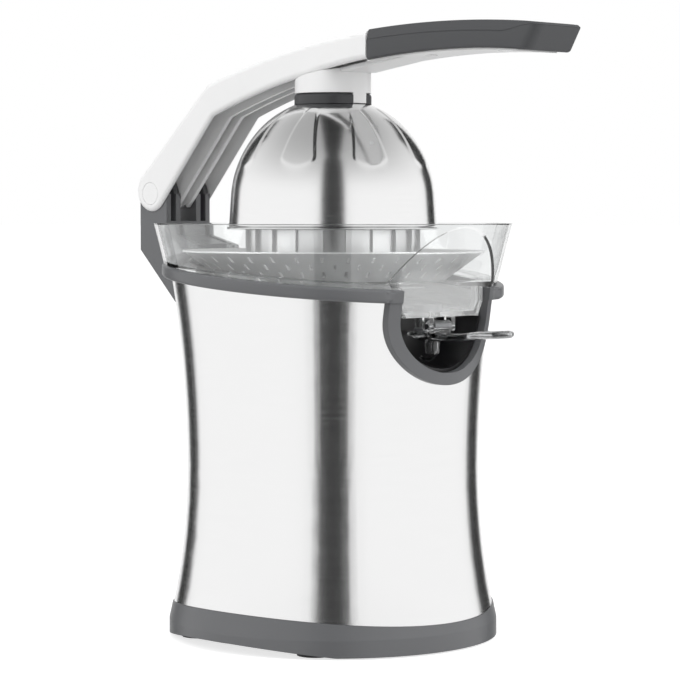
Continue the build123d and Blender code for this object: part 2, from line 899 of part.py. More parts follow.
def return_spring():
    """Coil of quarter-turn biarcs between the cover and the thrust flange."""
    low = roof_high + seat + spring_wire / 2
    rise = spring_length - 2 * seat - spring_wire
    quarters = 4 * spring_turns
    pitch_angle = math.atan2(rise / spring_turns, 2 * math.pi * spring_r)

    def place(quarter):
        angle = math.pi / 2 * quarter
        height = low + rise * quarter / quarters
        return Vector(spring_r * math.cos(angle), spring_r * math.sin(angle), height)

    def heading(quarter):
        angle = math.pi / 2 * quarter
        flat = math.cos(pitch_angle)
        return Vector(-math.sin(angle) * flat, math.cos(angle) * flat, math.sin(pitch_angle))

    path = []
    for quarter in range(quarters):
        start, end = place(quarter), place(quarter + 1)
        leave, arrive = heading(quarter), heading(quarter + 1)
        chord = end - start
        both = chord.dot(leave + arrive)
        spread = 2 * (1 - leave.dot(arrive))
        reach = (math.sqrt(both**2 + spread * chord.dot(chord)) - both) / spread
        knot = (start + end + (leave - arrive) * reach) * 0.5
        turn = (end - arrive * reach) - (start + leave * reach)
        path.append(TangentArc(start, knot, tangent=leave))
        path.append(TangentArc(knot, end, tangent=turn))
    wire = Wire(path)
    section = Plane(origin=wire @ 0, z_dir=wire % 0) * Circle(spring_wire / 2)
    return sweep(section, path=wire)


# Start switch


def switch_middle():
    return tab_reach - switch_length / 4


def switch_low():
    return spring_high - free - plunger_rise - switch_height


def switch_block(low, high):
    middle = switch_middle()
    half = switch_length / 2
    return block(-switch_width / 2, switch_width / 2, middle - half, middle + half, low, high)


def switch_case():
    low = switch_low()
    high = low + switch_height
    bore = disc(plunger_r + running, low + switch_height / 3, high, 0, -switch_middle())
    return switch_block(low, high) - bore


def switch_plunger():
    low = switch_low() + switch_height / 3 + press_travel + seat
    return disc(plunger_r, low, spring_high - free, 0, -switch_middle())


# Bowl


def front_room(inset):
    """What lies before the bowl's flat front panel and spout box."""
    run = panel_forward - spout_forward
    knee = rim_z - panel_drop - run / math.tan(math.radians(panel_tilt))
    over = big - rim_z
    ahead = panel_forward + over * math.tan(math.radians(panel_tilt)) - inset
    corners = [
        (-(spout_forward - inset), 0),
        (-(spout_forward - inset), knee),
        (-ahead, rim_z - panel_drop + over),
        (-2 * big, rim_z - panel_drop + over),
        (-2 * big, 0),
    ]
    return side_cut(make_face(Polyline(*corners, close=True)), big)


def bowl_form(inset):
    """The bowl's outside, or with an inset its inside."""
    low = spout_floor
    slope_inset = inset / math.cos(math.radians(bowl_flare))
    over = 10 * inset
    top = rim_z + over
    cone = turned(
        (0, low),
        (bowl_cone_r(low) - slope_inset, low),
        (bowl_cone_r(top) - slope_inset, top),
        (0, top),
    )
    cone = cone & above_slant(collar_height + seat + inset)
    well = disc(well_r - inset, 0, rim_z) & above_slant(inset - well_depth)
    well = well & below_slant(collar_height + 2 * bowl_wall)
    level = recess_level + well_depth
    half_top = spout_half_top - inset
    half_low = spout_half_low - inset
    sides = Polyline(
        (-half_low, low + inset),
        (half_low, low + inset),
        (half_top, level),
        (half_top, level + well_depth),
        (-half_top, level + well_depth),
        (-half_top, level),
        close=True,
    )
    box = extrude(Plane.XZ.offset(spout_back + inset) * make_face(sides), spout_forward - spout_back)
    return cone + well + box - front_room(inset)


def juice_bowl():
    bowl = bowl_form(0) - bowl_form(bowl_wall)
    floor = below_slant(-well_depth)
    chimney = tube(chimney_r, chimney_bore_r, 0, chimney_top) - floor
    bowl = bowl - disc(chimney_bore_r, 0, chimney_top) + chimney
    y = -outlet_forward
    bowl = bowl + disc(outlet_r, spout_floor - outlet_length, spout_floor + bowl_wall / 2, 0, y)
    bowl = bowl - disc(outlet_bore_r, 0, spout_floor + 2 * bowl_wall, 0, y)
    ear = ear_face()
    for side in (-1, 1):
        middle = side * (lever_barrel_half + free + ear_thick / 2)
        bowl = bowl + side_cut(ear, ear_thick / 2, middle)
    return bowl - cross_rod(lever_pin_r + seat / 2, big, -lever_forward, lever_z)


def ear_face():
    hub = Pos(-lever_forward, lever_z) * Circle(lever_barrel_r)
    top = spout_floor + bowl_wall / 2
    root = Pos(-lever_forward, (lever_z + top) / 2) * Rectangle(2 * lever_barrel_r, top - lever_z)
    reach = Pos(-spout_forward + 2 * lever_barrel_r, 0) * Rectangle(4 * lever_barrel_r, 4 * big)
    return (hub + root) & reach


def lever_pin():
    half = lever_barrel_half + free + ear_thick
    return cross_rod(lever_pin_r, half, -lever_forward, lever_z)


def outlet_seal():
    low = spout_floor + bowl_wall + seat
    seal = tube(outlet_r + outlet_seal_wall, outlet_bore_r, low, low + outlet_seal_height)
    return Pos(0, -outlet_forward, 0) * seal


# Drip-stop lever


def drip_lever():
    top = lever_z - lever_sink
    barrel = cross_rod(lever_barrel_r, lever_barrel_half, -lever_forward, lever_z)
    one_side = [
        (lever_back_half, -lever_back),
        (lever_half, -lever_forward - lever_neck),
        (lever_half, -lever_thumb),
        (lever_thumb_half, -lever_thumb - lever_flare),
        (lever_thumb_half, -lever_tip),
    ]
    other_side = [(-x, y) for x, y in reversed(one_side)]
    plan = make_face(Polyline(*one_side, *other_side, close=True))
    outline = fillet(plan.vertices().group_by(Axis.Y)[0], lever_thumb_round)
    column = extrude(Pos(0, 0, top - big / 2) * outline, big)
    tip_top = top + lever_tip_rise
    hinge_top = (-lever_forward, top)
    hinge_low = (-lever_forward, top - 2 * lever_thick)
    tip_low = (-lever_tip, tip_top - lever_thick)
    profile = make_face(
        Curve()
        + [
            Line((-lever_back, top), hinge_top),
            ThreePointArc(hinge_top, (-lever_thumb, top - lever_thick / 2), (-lever_tip, tip_top)),
            Line((-lever_tip, tip_top), tip_low),
            ThreePointArc(tip_low, (-lever_thumb, top - 2 * lever_thick), hinge_low),
            Line(hinge_low, (-lever_back, top - lever_thick)),
            Line((-lever_back, top - lever_thick), (-lever_back, top)),
        ]
    )
    blade = column & side_cut(profile, 2 * lever_thumb_half)
    neck = Box(2 * lever_barrel_half, 2 * lever_barrel_r, lever_sink + lever_thick)
    neck = Pos(0, -lever_forward, (top - lever_thick + lever_z) / 2) * neck
    lip = tube(lever_half, lever_half - lever_thick, top - drip_lip, top - lever_thick / 2)
    lip = Pos(0, -outlet_forward, 0) * lip - block(-big, big, outlet_forward, big, 0, top - 2 * lever_thick)
    return blade + neck + barrel + lip - cross_rod(lever_pin_r + running, big, -lever_forward, lever_z)


def valve_plug():
    low = lever_z - lever_sink
    return disc(plug_r, low + seat, spout_floor - outlet_length - free, 0, -outlet_forward)


# Strainer and reamer


def strainer():
    rim = rim_z - strainer_rim_drop
    base = rim - strainer_depth
    hub_in = chimney_r + hub_wall_gap
    hub_out = hub_in + strainer_wall
    hub_top = chimney_top + seat + strainer_wall
    lift = strainer_wall
    basket = turned(
        (strainer_rim_r, rim),
        (strainer_rim_r, rim + lift),
        (strainer_rim_r - 2 * lift, rim + lift),
        (strainer_base_r - lift, base + lift),
        (hub_out, base + lift),
        (hub_out, hub_top),
        (chimney_bore_r, hub_top),
        (chimney_bore_r, hub_top - lift),
        (hub_in, hub_top - lift),
        (hub_in, base),
        (strainer_base_r, base),
        (strainer_rim_r - lift, rim),
    )
    slope = math.degrees(math.atan2(strainer_depth, strainer_rim_r - strainer_base_r))
    cutters = []
    for row in range(slot_rows):
        share = (row + 1) / (slot_rows + 1)
        radius = strainer_base_r + share * (strainer_rim_r - strainer_base_r)
        height = base + share * strainer_depth
        slot = Pos(radius, 0, height) * Rot(0, -slope, 0) * Box(slot_length, slot_width, 6 * strainer_wall)
        half_step = 180 / slot_count * (row % 2)
        cutters = cutters + [turn * slot for turn in around(slot_count, half_step)]
    return basket - cutters


def reamer():
    top = rim_z - reamer_skirt_top
    low = top - reamer_skirt
    tip = top + cone_height
    outside = turned_edges(
        Line((0, low), (reamer_r, low)),
        Line((reamer_r, low), (reamer_r, top)),
        Line((reamer_r, top), (cone_r, top)),
        ThreePointArc((cone_r, top), (cone_belly_r, top + cone_height / 2), (cone_tip_r, tip)),
        Line((cone_tip_r, tip), (0, tip)),
        Line((0, tip), (0, low)),
    )
    hollow = disc(reamer_r - reamer_wall, low, top - reamer_wall)
    fin = make_face(
        Curve()
        + [
            ThreePointArc(
                (cone_r + rib_proud, top - reamer_wall / 2),
                (cone_belly_r + rib_proud, top + cone_height / 2),
                (0, tip + rib_proud / 2),
            ),
            Line((0, tip + rib_proud / 2), (0, top - reamer_wall / 2)),
            Line((0, top - reamer_wall / 2), (cone_r + rib_proud, top - reamer_wall / 2)),
        ]
    )
    rib = extrude(Plane.XZ * fin, rib_thick / 2, both=True)
    body = outside - hollow
    for turn in around(rib_count):
        body = body + turn * rib
    rib_in = reamer_r - reamer_wall / 2
    skirt_rib = block(rib_in, reamer_r + rib_proud / 2, -rib_thick / 2, rib_thick / 2, low, top)
    for turn in around(2 * rib_count):
        body = body + turn * skirt_rib
    socket = disc(spindle_r + socket_wall, socket_low(), top)
    body = body + socket
    return body - head_flats(socket_low(), socket_low() + socket_depth, seat)


# Arm


def post_axes():
    """Unit vectors in (Y, Z): along the post from the pin, and out through its roof."""
    pitch = math.radians(arm_pitch)
    return (-math.cos(pitch), math.sin(pitch)), (math.sin(pitch), math.cos(pitch))


def on_post(along, out):
    forward, up = post_axes()
    y = hinge_back + along * forward[0] + out * up[0]
    z = hinge_z + along * forward[1] + out * up[1]
    return y, z


def between(start, end, bulge):
    """Middle of a chord, raised by a bulge."""
    return (start[0] + end[0]) / 2, (start[1] + end[1]) / 2 + bulge


def arm_outline():
    end_top = (-arm_end_forward, hinge_z + arm_end_rise)
    end_low = (-arm_end_forward, hinge_z + arm_end_rise - arm_end_depth)
    roof_start = on_post(0, arm_roof)
    elbow = on_post(arm_post, arm_roof)
    under_elbow = on_post(arm_post - elbow_setback, arm_roof - elbow_under)
    under = math.radians(arm_under_pitch)
    under_start = (hinge_back - arm_boss_r * math.sin(under), hinge_z - arm_boss_r * math.cos(under))
    behind = (hinge_back + arm_boss_r * math.cos(under), hinge_z - arm_boss_r * math.sin(under))
    outline = make_face(
        Curve()
        + [
            Line(roof_start, elbow),
            ThreePointArc(elbow, between(elbow, end_top, arm_crown), end_top),
            Line(end_top, end_low),
            ThreePointArc(end_low, between(end_low, under_elbow, arm_under_crown), under_elbow),
            Line(under_elbow, under_start),
            ThreePointArc(under_start, behind, roof_start),
        ]
    )
    corners = outline.vertices()
    outer_corner = corners.sort_by_distance(Vector(*elbow))[0]
    outline = fillet(outer_corner, elbow_round)
    inner_corner = outline.vertices().sort_by_distance(Vector(*under_elbow))[0]
    return fillet(inner_corner, elbow_under_round)


def arm_bar(gap=0.0):
    """The arm's arched bar that fills the underside of the grip."""
    reach = bar_length + gap
    root = -arm_end_forward + arm_wall
    low_start, low_middle, low_end = [under_grip(reach * share, -bar_show) for share in (0, 0.5, 1)]
    top_start, top_middle, top_end = [under_grip(reach * share, bar_depth + gap) for share in (0, 0.5, 1)]
    face = make_face(
        Curve()
        + [
            ThreePointArc(low_start, low_middle, low_end),
            Line(low_end, top_end),
            ThreePointArc(top_end, top_middle, top_start),
            Polyline(top_start, (root, top_start[1]), (root, low_start[1]), low_start),
        ]
    )
    return side_cut(face, bar_half + gap)


def arm_keel():
    """Web that carries the bar on the sleeve."""
    end = under_grip(keel_run, -bar_show)
    low = end[1] - keel_drop
    face = make_face(Polyline((0, low), (-sleeve_r, low), end, (end[0], bar_floor()), (0, bar_floor()), close=True))
    return side_cut(face, keel_half) - disc(sleeve_r - sleeve_wall, 0, big)


def bar_floor():
    return under_grip(0, bar_depth / 2)[1]


def arm_frame():
    outline = arm_outline()
    frame = side_cut(outline, arm_half)
    frame = fillet(roof_edges(frame), arm_edge)
    cavity = offset(outline, -arm_wall, kind=Kind.INTERSECTION)
    inner_half = arm_half - arm_wall
    for shift in (0, 2 * arm_wall):
        frame = frame - side_cut(Pos(-shift, -shift) * cavity, inner_half)
    pin_place = Pos(hinge_back, hinge_z)
    along_post = pin_place * Rot(0, 0, -arm_pitch)
    hinge_room = along_post * Pos(big / 2 - arm_notch, 0) * Rectangle(big, 4 * arm_roof)
    frame = frame - side_cut(hinge_room, inner_half)
    rib_room = along_post * Pos(-big / 2, 0) * Rectangle(big, big)
    rib = (outline & rib_room) + pin_place * Circle(rib_boss_r)
    rib_end = sleeve_r - sleeve_wall
    rib = rib - Pos(rib_end - hinge_back, hinge_z) * Rectangle(2 * hinge_back, big)
    for side in (-1, 1):
        frame = frame + side_cut(rib, arm_rib / 2, side * rib_half)
    arm_space = side_cut(outline, 2 * arm_half)
    sleeve_high = sleeve_low + sleeve_rise
    sleeve = disc(sleeve_r, sleeve_low, sleeve_high) - arm_space
    room = disc(sleeve_r - sleeve_wall, sleeve_low + sleeve_wall, sleeve_high)
    boss = disc(3 * screw_r, sleeve_low, sleeve_high)
    frame = frame + (sleeve - room) + boss + arm_bar() + (arm_keel() - arm_space)
    tongue = tube(sleeve_r, sleeve_r - sleeve_wall, sleeve_low - tongue_drop, sleeve_low + sleeve_wall)
    tongue = tongue & block(-tongue_half, tongue_half, 0, big, 0, big)
    frame = frame + (tongue - dome_form(-free))
    frame = frame - cross_rod(pin_r + seat / 2, big, hinge_back, hinge_z)
    for side in (-1, 1):
        middle = side * (arm_half - pin_head / 2)
        head = Rot(0, 90, 0) * Cylinder(pin_head_r + seat, pin_head + seat)
        frame = frame - Pos(middle, hinge_back, hinge_z) * head
    for y, low in grip_screw_places():
        frame = frame - disc(screw_r + seat, low, low + big, 0, y)
        frame = frame - disc(screw_head_r + seat, low - big, low + screw_head, 0, y)
    return frame - disc(screw_r + seat, sleeve_low, sleeve_low + 2 * screw_head_r)


def roof_edges(frame):
    """The two long edges of the roof, from hinge to grip."""
    chosen = []
    for edge in frame.edges():
        middle = edge @ 0.5
        along_side = abs(abs(middle.X) - arm_half) < seat
        y, z = middle.Y, middle.Z
        fall = (y + arm_end_forward) * math.tan(math.radians(arm_pitch / 2))
        over_roof = z > hinge_z + arm_end_rise - arm_roof - fall
        if along_side and over_roof and -arm_end_forward + seat < y < hinge_back:
            chosen.append(edge)
    return chosen


def hinge_pin():
    return cross_rod(pin_r, arm_half - pin_head - seat, hinge_back, hinge_z)


def pin_caps():
    caps = []
    for side in (-1, 1):
        middle = side * (arm_half - pin_head / 2)
        caps.append(Pos(middle, hinge_back, hinge_z) * Rot(0, 90, 0) * Cylinder(pin_head_r, pin_head))
    return caps


def grip_corners():
    """Start and tip of the grip in (Y, Z), top and bottom."""
    start_top = (-arm_end_forward - seat, hinge_z + arm_end_rise + grip_step)
    start_low = (start_top[0], start_top[1] - grip_depth)
    tip_top = (-arm_end_forward - grip_length, start_top[1] - grip_tip_drop)
    tip_low = (tip_top[0] + grip_tip_slant, tip_top[1] - grip_tip_depth)
    return start_top, start_low, tip_top, tip_low


def under_grip(along, lift):
    """A point of the grip's arched underside in (Y, Z), lifted a little."""
    _, start, _, tip = grip_corners()
    share = along / (start[0] - tip[0])
    level = start[1] + share * (tip[1] - start[1]) + 4 * grip_under_crown * share * (1 - share)
    return start[0] - along, level + lift


def grip_outline():
    start_top, start_low, tip_top, tip_low = grip_corners()
    return make_face(
        Curve()
        + [
            ThreePointArc(start_top, between(start_top, tip_top, grip_crown), tip_top),
            Line(tip_top, tip_low),
            ThreePointArc(tip_low, between(tip_low, start_low, grip_under_crown), start_low),
            Line(start_low, start_top),
        ]
    )


def grip():
    body = side_cut(grip_outline(), grip_half)
    upright = body.edges().filter_by(lambda edge: edge.length < 2 * grip_depth)
    tip_edges = [edge for edge in upright if is_tip_edge(edge)]
    body = fillet(tip_edges, grip_corner)
    top = body.faces().sort_by(lambda face: face.center().Z)[-1]
    rear = -arm_end_forward - 2 * seat
    rim = [edge for edge in top.edges() if (edge @ 0.5).Y < rear]
    body = chamfer(rim, grip_bevel_in, grip_bevel_down, reference=top)
    body = body - arm_bar(seat)
    for y, low in grip_screw_places():
        body = body - disc(screw_r + seat, low, low + bar_depth + bar_depth / 2, 0, y)
    return body


def is_tip_edge(edge):
    """One of the two upright edges at the grip's free end."""
    middle = edge @ 0.5
    at_end = middle.Y < -arm_end_forward - grip_length + grip_tip_slant
    return at_end and abs(abs(middle.X) - grip_half) < seat


def grip_screw_places():
    """Each grip screw's Y, and the level of the bar's underside there."""
    return [under_grip(along, -bar_show) for along in (grip_screw_near, grip_screw_far)]


def grip_screws():
    screws = []
    for y, low in grip_screw_places():
        head_top = low + screw_head - seat
        screws.append(screw(0, y, head_top, low + bar_depth + bar_depth / 2 - seat, head_up=False))
    return screws


# Dome


def dome_point(radius, height, lean, inset):
    """A point of the dome's outline, moved in square to the surface."""
    angle = math.radians(lean)
    return radius - inset * math.cos(angle), dome_low + height - inset * math.sin(angle)


def dome_form(inset):
    low = (dome_r - inset, dome_low)
    wall_top = dome_point(dome_r, dome_wall_height, 0, inset)
    bend = dome_point(dome_bend_r, dome_bend_height, dome_bend_lean, inset)
    shoulder = dome_point(dome_shoulder_r, dome_shoulder_height, dome_shoulder_lean, inset)
    brow = dome_point(dome_brow_r, dome_brow_height, dome_brow_lean, inset)
    crown = dome_point(dome_crown_r, dome_height, dome_crown_lean, inset)
    top = (0, dome_low + dome_height + dome_crown_rise - inset)
    return turned_edges(
        Line((0, dome_low), low),
        Line(low, wall_top),
        ThreePointArc(wall_top, bend, shoulder),
        ThreePointArc(shoulder, brow, crown),
        Line(crown, top),
        Line(top, (0, dome_low)),
    )


def dome_petals(grow):
    petal = make_hull(
        (Pos(petal_inner, 0) * Circle(petal_inner_r + grow)).edges()
        + (Pos(petal_outer, 0) * Circle(petal_outer_r + grow)).edges()
    )
    column = extrude(Pos(0, 0, dome_low + dome_wall_height) * petal, big)
    return [turn * column for turn in around(petal_count, 270 + 180 / petal_count)]


def pressed(inset, grow):
    """The dome's form with its petals pushed in."""
    full = dome_form(inset)
    sunk = dome_form(inset + petal_depth)
    return full - [column - sunk for column in dome_petals(grow)]


def dome_shell():
    shell = pressed(0, 0) - pressed(dome_wall, dome_wall)
    flange = tube(dome_r + dome_flange, dome_r - dome_wall, dome_low, dome_low + dome_wall)
    return shell + flange - disc(dome_bore_r, 0, big)


def dome_hub():
    hub = disc(hub_r, dome_low + dome_shoulder_height, sleeve_low - seat)
    hub = fillet(hub.edges().group_by(Axis.Z)[-1], hub_round)
    hub = hub - dome_form(-seat)
    notch = tube(big, sleeve_r - sleeve_wall - seat, 0, big)
    notch = notch & block(-tongue_half - seat, tongue_half + seat, 0, big, 0, big)
    return hub - notch - disc(dome_bore_r, 0, big)


def dome_screw():
    head_top = dome_low + dome_height - dome_wall - 2 * seat
    shank = disc(screw_r, head_top, sleeve_low + screw_head_r)
    return shank + disc(2 * screw_r, head_top - screw_head, head_top)


# Every piece, one file each

PIECES = [
    base_tray, rubber_feet, cord_grommet, tie_rods, body_shell, top_collar, recess_liner, bowl_deck,
    shaft_seal, hinge_bracket, bracket_screws, motor_mount, motor_can, motor_end_bell, stator_core,
    field_coils, motor_shaft, motor_pinion, rotor_core, cooling_fan, gear_plate, lower_bush,
    gear_cover, gear_screws, idler_axle, idler_gear, spindle_shaft, drive_pin, output_gear,
    thrust_bush, retaining_ring, return_spring, switch_case, switch_plunger, juice_bowl, lever_pin,
    outlet_seal, drip_lever, valve_plug, strainer, reamer, arm_frame, hinge_pin, pin_caps, grip, grip_screws,
    dome_shell, dome_hub, dome_screw,
]

os.makedirs("parts", exist_ok=True)
for make in PIECES:
    shape = make()
    if isinstance(shape, list):
        shape = Compound(children=shape)
    export_step(shape, f"parts/{make.__name__}.step")
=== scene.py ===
import json
import math

import bmesh
import bpy
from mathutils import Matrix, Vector


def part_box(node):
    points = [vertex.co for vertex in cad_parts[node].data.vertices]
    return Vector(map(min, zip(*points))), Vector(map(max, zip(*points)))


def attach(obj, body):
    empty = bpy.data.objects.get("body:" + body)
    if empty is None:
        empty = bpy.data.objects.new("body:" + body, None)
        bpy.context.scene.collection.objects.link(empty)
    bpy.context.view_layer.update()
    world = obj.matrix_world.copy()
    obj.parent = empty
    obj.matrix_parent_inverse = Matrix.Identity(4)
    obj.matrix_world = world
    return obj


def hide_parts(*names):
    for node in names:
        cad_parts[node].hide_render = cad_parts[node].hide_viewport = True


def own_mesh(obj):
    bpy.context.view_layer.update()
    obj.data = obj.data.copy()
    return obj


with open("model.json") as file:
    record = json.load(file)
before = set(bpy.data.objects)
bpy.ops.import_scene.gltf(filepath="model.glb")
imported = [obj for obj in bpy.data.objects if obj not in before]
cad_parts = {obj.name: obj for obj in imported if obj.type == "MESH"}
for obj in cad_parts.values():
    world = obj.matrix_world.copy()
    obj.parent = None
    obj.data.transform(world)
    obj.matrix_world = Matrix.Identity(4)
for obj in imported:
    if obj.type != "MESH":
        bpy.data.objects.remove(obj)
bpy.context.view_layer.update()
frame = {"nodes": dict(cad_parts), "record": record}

# Citrus press juicer: finishes, fine forms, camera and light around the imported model.
# Lengths of the pieces are millimetres, and MM turns them into metres. -Y is the front, +Z is up.
# "Forward" is the distance from the spindle axis towards -Y.

MM = 0.001
nodes = frame["nodes"]


# Small helpers


def colour(code):
    """An sRGB hex value as linear light."""
    channels = [int(code[place : place + 2], 16) / 255 for place in (1, 3, 5)]
    linear = [c / 12.92 if c <= 0.04045 else ((c + 0.055) / 1.055) ** 2.4 for c in channels]
    return (*linear, 1.0)


def add(tree, kind, inputs, **settings):
    """Adds a node with its settings. An input is a value to set or a socket to link."""
    made = tree.nodes.new("ShaderNode" + kind)
    for name, value in settings.items():
        setattr(made, name, value)
    for name, value in inputs.items():
        socket = made.inputs[name]
        if isinstance(value, bpy.types.NodeSocket):
            tree.links.new(value, socket)
        else:
            socket.default_value = value
    return made


def new_finish(name, sockets):
    """A material whose shader has the given constant sockets."""
    made = bpy.data.materials.new(name)
    made.use_nodes = True
    shader = made.node_tree.nodes["Principled BSDF"]
    for socket, value in sockets.items():
        shader.inputs[socket].default_value = value
    return made, made.node_tree, shader


# The Mix node's colour sockets
MIX_DARK, MIX_LIGHT, MIX_RESULT = 6, 7, 2


def wear(tree, shader, pattern, base, vary, rough, rough_vary):
    """Lets a 0 to 1 pattern vary the base colour and the roughness a little."""
    dark = [c * (1 - vary) for c in base[:3]] + [1.0]
    light = [min(c * (1 + vary), 1.0) for c in base[:3]] + [1.0]
    tint = add(tree, "Mix", {"Factor": pattern, MIX_DARK: dark, MIX_LIGHT: light}, data_type="RGBA")
    tree.links.new(tint.outputs[MIX_RESULT], shader.inputs["Base Color"])
    limits = {"Value": pattern, "To Min": rough - rough_vary, "To Max": rough + rough_vary}
    level = add(tree, "MapRange", limits)
    tree.links.new(level.outputs["Result"], shader.inputs["Roughness"])


def relief(tree, shader, pattern, depth, edge_radius=0.0):
    """A bump of a real depth in metres, over edges softened by a small radius."""
    bump = add(tree, "Bump", {"Height": pattern, "Distance": depth})
    if edge_radius:
        edge = add(tree, "Bevel", {"Radius": edge_radius}, samples=4)
        tree.links.new(edge.outputs["Normal"], bump.inputs["Normal"])
    tree.links.new(bump.outputs["Normal"], shader.inputs["Normal"])


# Finishes

BRUSH_ANISOTROPY = 0.3
BRUSH_DEPTH = 0.004 * MM
BRUSH_ROUGH_VARY = 0.25  # as a share of the roughness, like the two below
MOULD_ROUGH_VARY = 0.12
TOOL_ROUGH_VARY = 0.2
MOULD_PATCH = 40 * MM  # size of the faint patches in a moulding
MOULD_EDGE = 0.6 * MM  # edge radius of opaque mouldings
CLEAR_EDGE = 0.5 * MM
CLEAR_IOR = 1.56
CLEAR_RIPPLE = 30 * MM
TOOL_MARK = 0.8 * MM
TOOL_MARK_DEPTH = 0.006 * MM

# Where the bowl's spout box is hazy: it fades in from back to front, from high to low and from the sides
HAZE_BACK = -56 * MM
HAZE_FRONT = -60 * MM
HAZE_HIGH = 209.5 * MM
HAZE_LOW = 193.5 * MM
HAZE_SIDE = 36 * MM
HAZE_SIDE_FADE = 4 * MM
HAZE_FLOOR = 179.5 * MM
SPOUT_HAZE = 0.18


def brushed_steel(name, code, rough, grain, streak, vary):
    """Stainless sheet, belt-brushed round the axis: fine level lines that blur reflections upwards.

    The true grain is near 0.1 mm and is drawn coarser here so that it shows.
    """
    base = colour(code)
    made, tree, shader = new_finish(name, {"Metallic": 1.0, "Anisotropic": BRUSH_ANISOTROPY})
    place = add(tree, "TexCoord", {}).outputs["Object"]
    split = add(tree, "SeparateXYZ", {"Vector": place})
    angle = add(tree, "Math", {0: split.outputs["Y"], 1: split.outputs["X"]}, operation="ARCTAN2")
    square = {0: split.outputs["X"], 1: split.outputs["X"]}
    across = add(tree, "Math", square, operation="MULTIPLY")
    square = {0: split.outputs["Y"], 1: split.outputs["Y"], 2: across.outputs[0]}
    both = add(tree, "Math", square, operation="MULTIPLY_ADD")
    radius = add(tree, "Math", {0: both.outputs[0]}, operation="SQRT")
    turn = add(tree, "Math", {0: angle.outputs[0], 1: 1 / streak}, operation="MULTIPLY")
    height = add(tree, "Math", {0: split.outputs["Z"], 1: 1 / grain}, operation="MULTIPLY")
    reach = add(tree, "Math", {0: radius.outputs[0], 1: 1 / grain}, operation="MULTIPLY")
    corner = {"X": turn.outputs[0], "Y": height.outputs[0], "Z": reach.outputs[0]}
    lines = add(tree, "CombineXYZ", corner)
    grain_noise = add(tree, "TexNoise", {"Vector": lines.outputs[0], "Scale": 1.0, "Detail": 3.0})
    wear(tree, shader, grain_noise.outputs["Fac"], base, vary, rough, rough * BRUSH_ROUGH_VARY)
    relief(tree, shader, grain_noise.outputs["Fac"], BRUSH_DEPTH)
    tangent = add(tree, "Tangent", {}, direction_type="RADIAL", axis="Z")
    tree.links.new(tangent.outputs[0], shader.inputs["Tangent"])
    return made


def moulded(name, code, rough, pebble, depth, vary, ior):
    """Moulded plastic, or a paint or powder coat: a fine pebble that softens every highlight.

    The true pebble, from a spark-eroded tool or a spray, is near 0.1 mm and is drawn coarser here to show.
    """
    base = colour(code)
    made, tree, shader = new_finish(name, {"IOR": ior})
    place = add(tree, "TexCoord", {}).outputs["Object"]
    fine = add(tree, "TexNoise", {"Vector": place, "Scale": 1 / pebble, "Detail": 2.0})
    broad = add(tree, "TexNoise", {"Vector": place, "Scale": 1 / MOULD_PATCH, "Detail": 1.0})
    wear(tree, shader, broad.outputs["Fac"], base, vary, rough, rough * MOULD_ROUGH_VARY)
    relief(tree, shader, fine.outputs["Fac"], depth, MOULD_EDGE)
    return made


def spout_haze(tree, place):
    """1 in the spout box, low at the front of the bowl, and 0 elsewhere, with soft limits."""
    split = add(tree, "SeparateXYZ", {"Vector": place})
    limits = {"Value": split.outputs["Y"], "From Min": HAZE_BACK, "From Max": HAZE_FRONT}
    front = add(tree, "MapRange", limits, interpolation_type="SMOOTHSTEP")
    limits = {"Value": split.outputs["Z"], "From Min": HAZE_HIGH, "From Max": HAZE_LOW}
    low = add(tree, "MapRange", limits, interpolation_type="SMOOTHSTEP")
    across = add(tree, "Math", {0: split.outputs["X"]}, operation="ABSOLUTE")
    limits = {"Value": across.outputs[0], "From Min": HAZE_SIDE, "From Max": HAZE_SIDE - HAZE_SIDE_FADE}
    middle = add(tree, "MapRange", limits)
    above = add(tree, "Math", {0: split.outputs["Z"], 1: HAZE_FLOOR}, operation="GREATER_THAN")
    haze = front.outputs["Result"]
    for share in (low.outputs["Result"], middle.outputs["Result"], above.outputs[0]):
        haze = add(tree, "Math", {0: haze, 1: share}, operation="MULTIPLY").outputs[0]
    return haze


def clear_moulding(name, code, rough, depth, haze=0.0):
    """Clear styrene moulding: glossy, with a slow ripple from the tool that bends what is behind it.

    Haze is the part of the light that a spark-eroded spout box scatters.
    """
    sockets = {"Base Color": colour(code), "Roughness": rough, "IOR": CLEAR_IOR, "Transmission Weight": 1.0}
    made, tree, shader = new_finish(name, sockets)
    place = add(tree, "TexCoord", {}).outputs["Object"]
    slow = add(tree, "TexNoise", {"Vector": place, "Scale": 1 / CLEAR_RIPPLE, "Detail": 1.0})
    relief(tree, shader, slow.outputs["Fac"], depth, CLEAR_EDGE)
    if haze:
        limits = {"Value": spout_haze(tree, place), "To Min": 1.0, "To Max": 1.0 - haze}
        level = add(tree, "MapRange", limits)
        tree.links.new(level.outputs["Result"], shader.inputs["Transmission Weight"])
    return made


def machined(name, code, rough, vary=0.06):
    """Turned, drawn or pressed metal: faint tool marks that break up its reflections.

    The true marks are near 0.1 mm apart and are drawn coarser here so that they show.
    """
    base = colour(code)
    made, tree, shader = new_finish(name, {"Metallic": 1.0})
    place = add(tree, "TexCoord", {}).outputs["Object"]
    marks = add(tree, "TexNoise", {"Vector": place, "Scale": 1 / TOOL_MARK, "Detail": 2.0})
    wear(tree, shader, marks.outputs["Fac"], base, vary, rough, rough * TOOL_ROUGH_VARY)
    relief(tree, shader, marks.outputs["Fac"], TOOL_MARK_DEPTH)
    return made


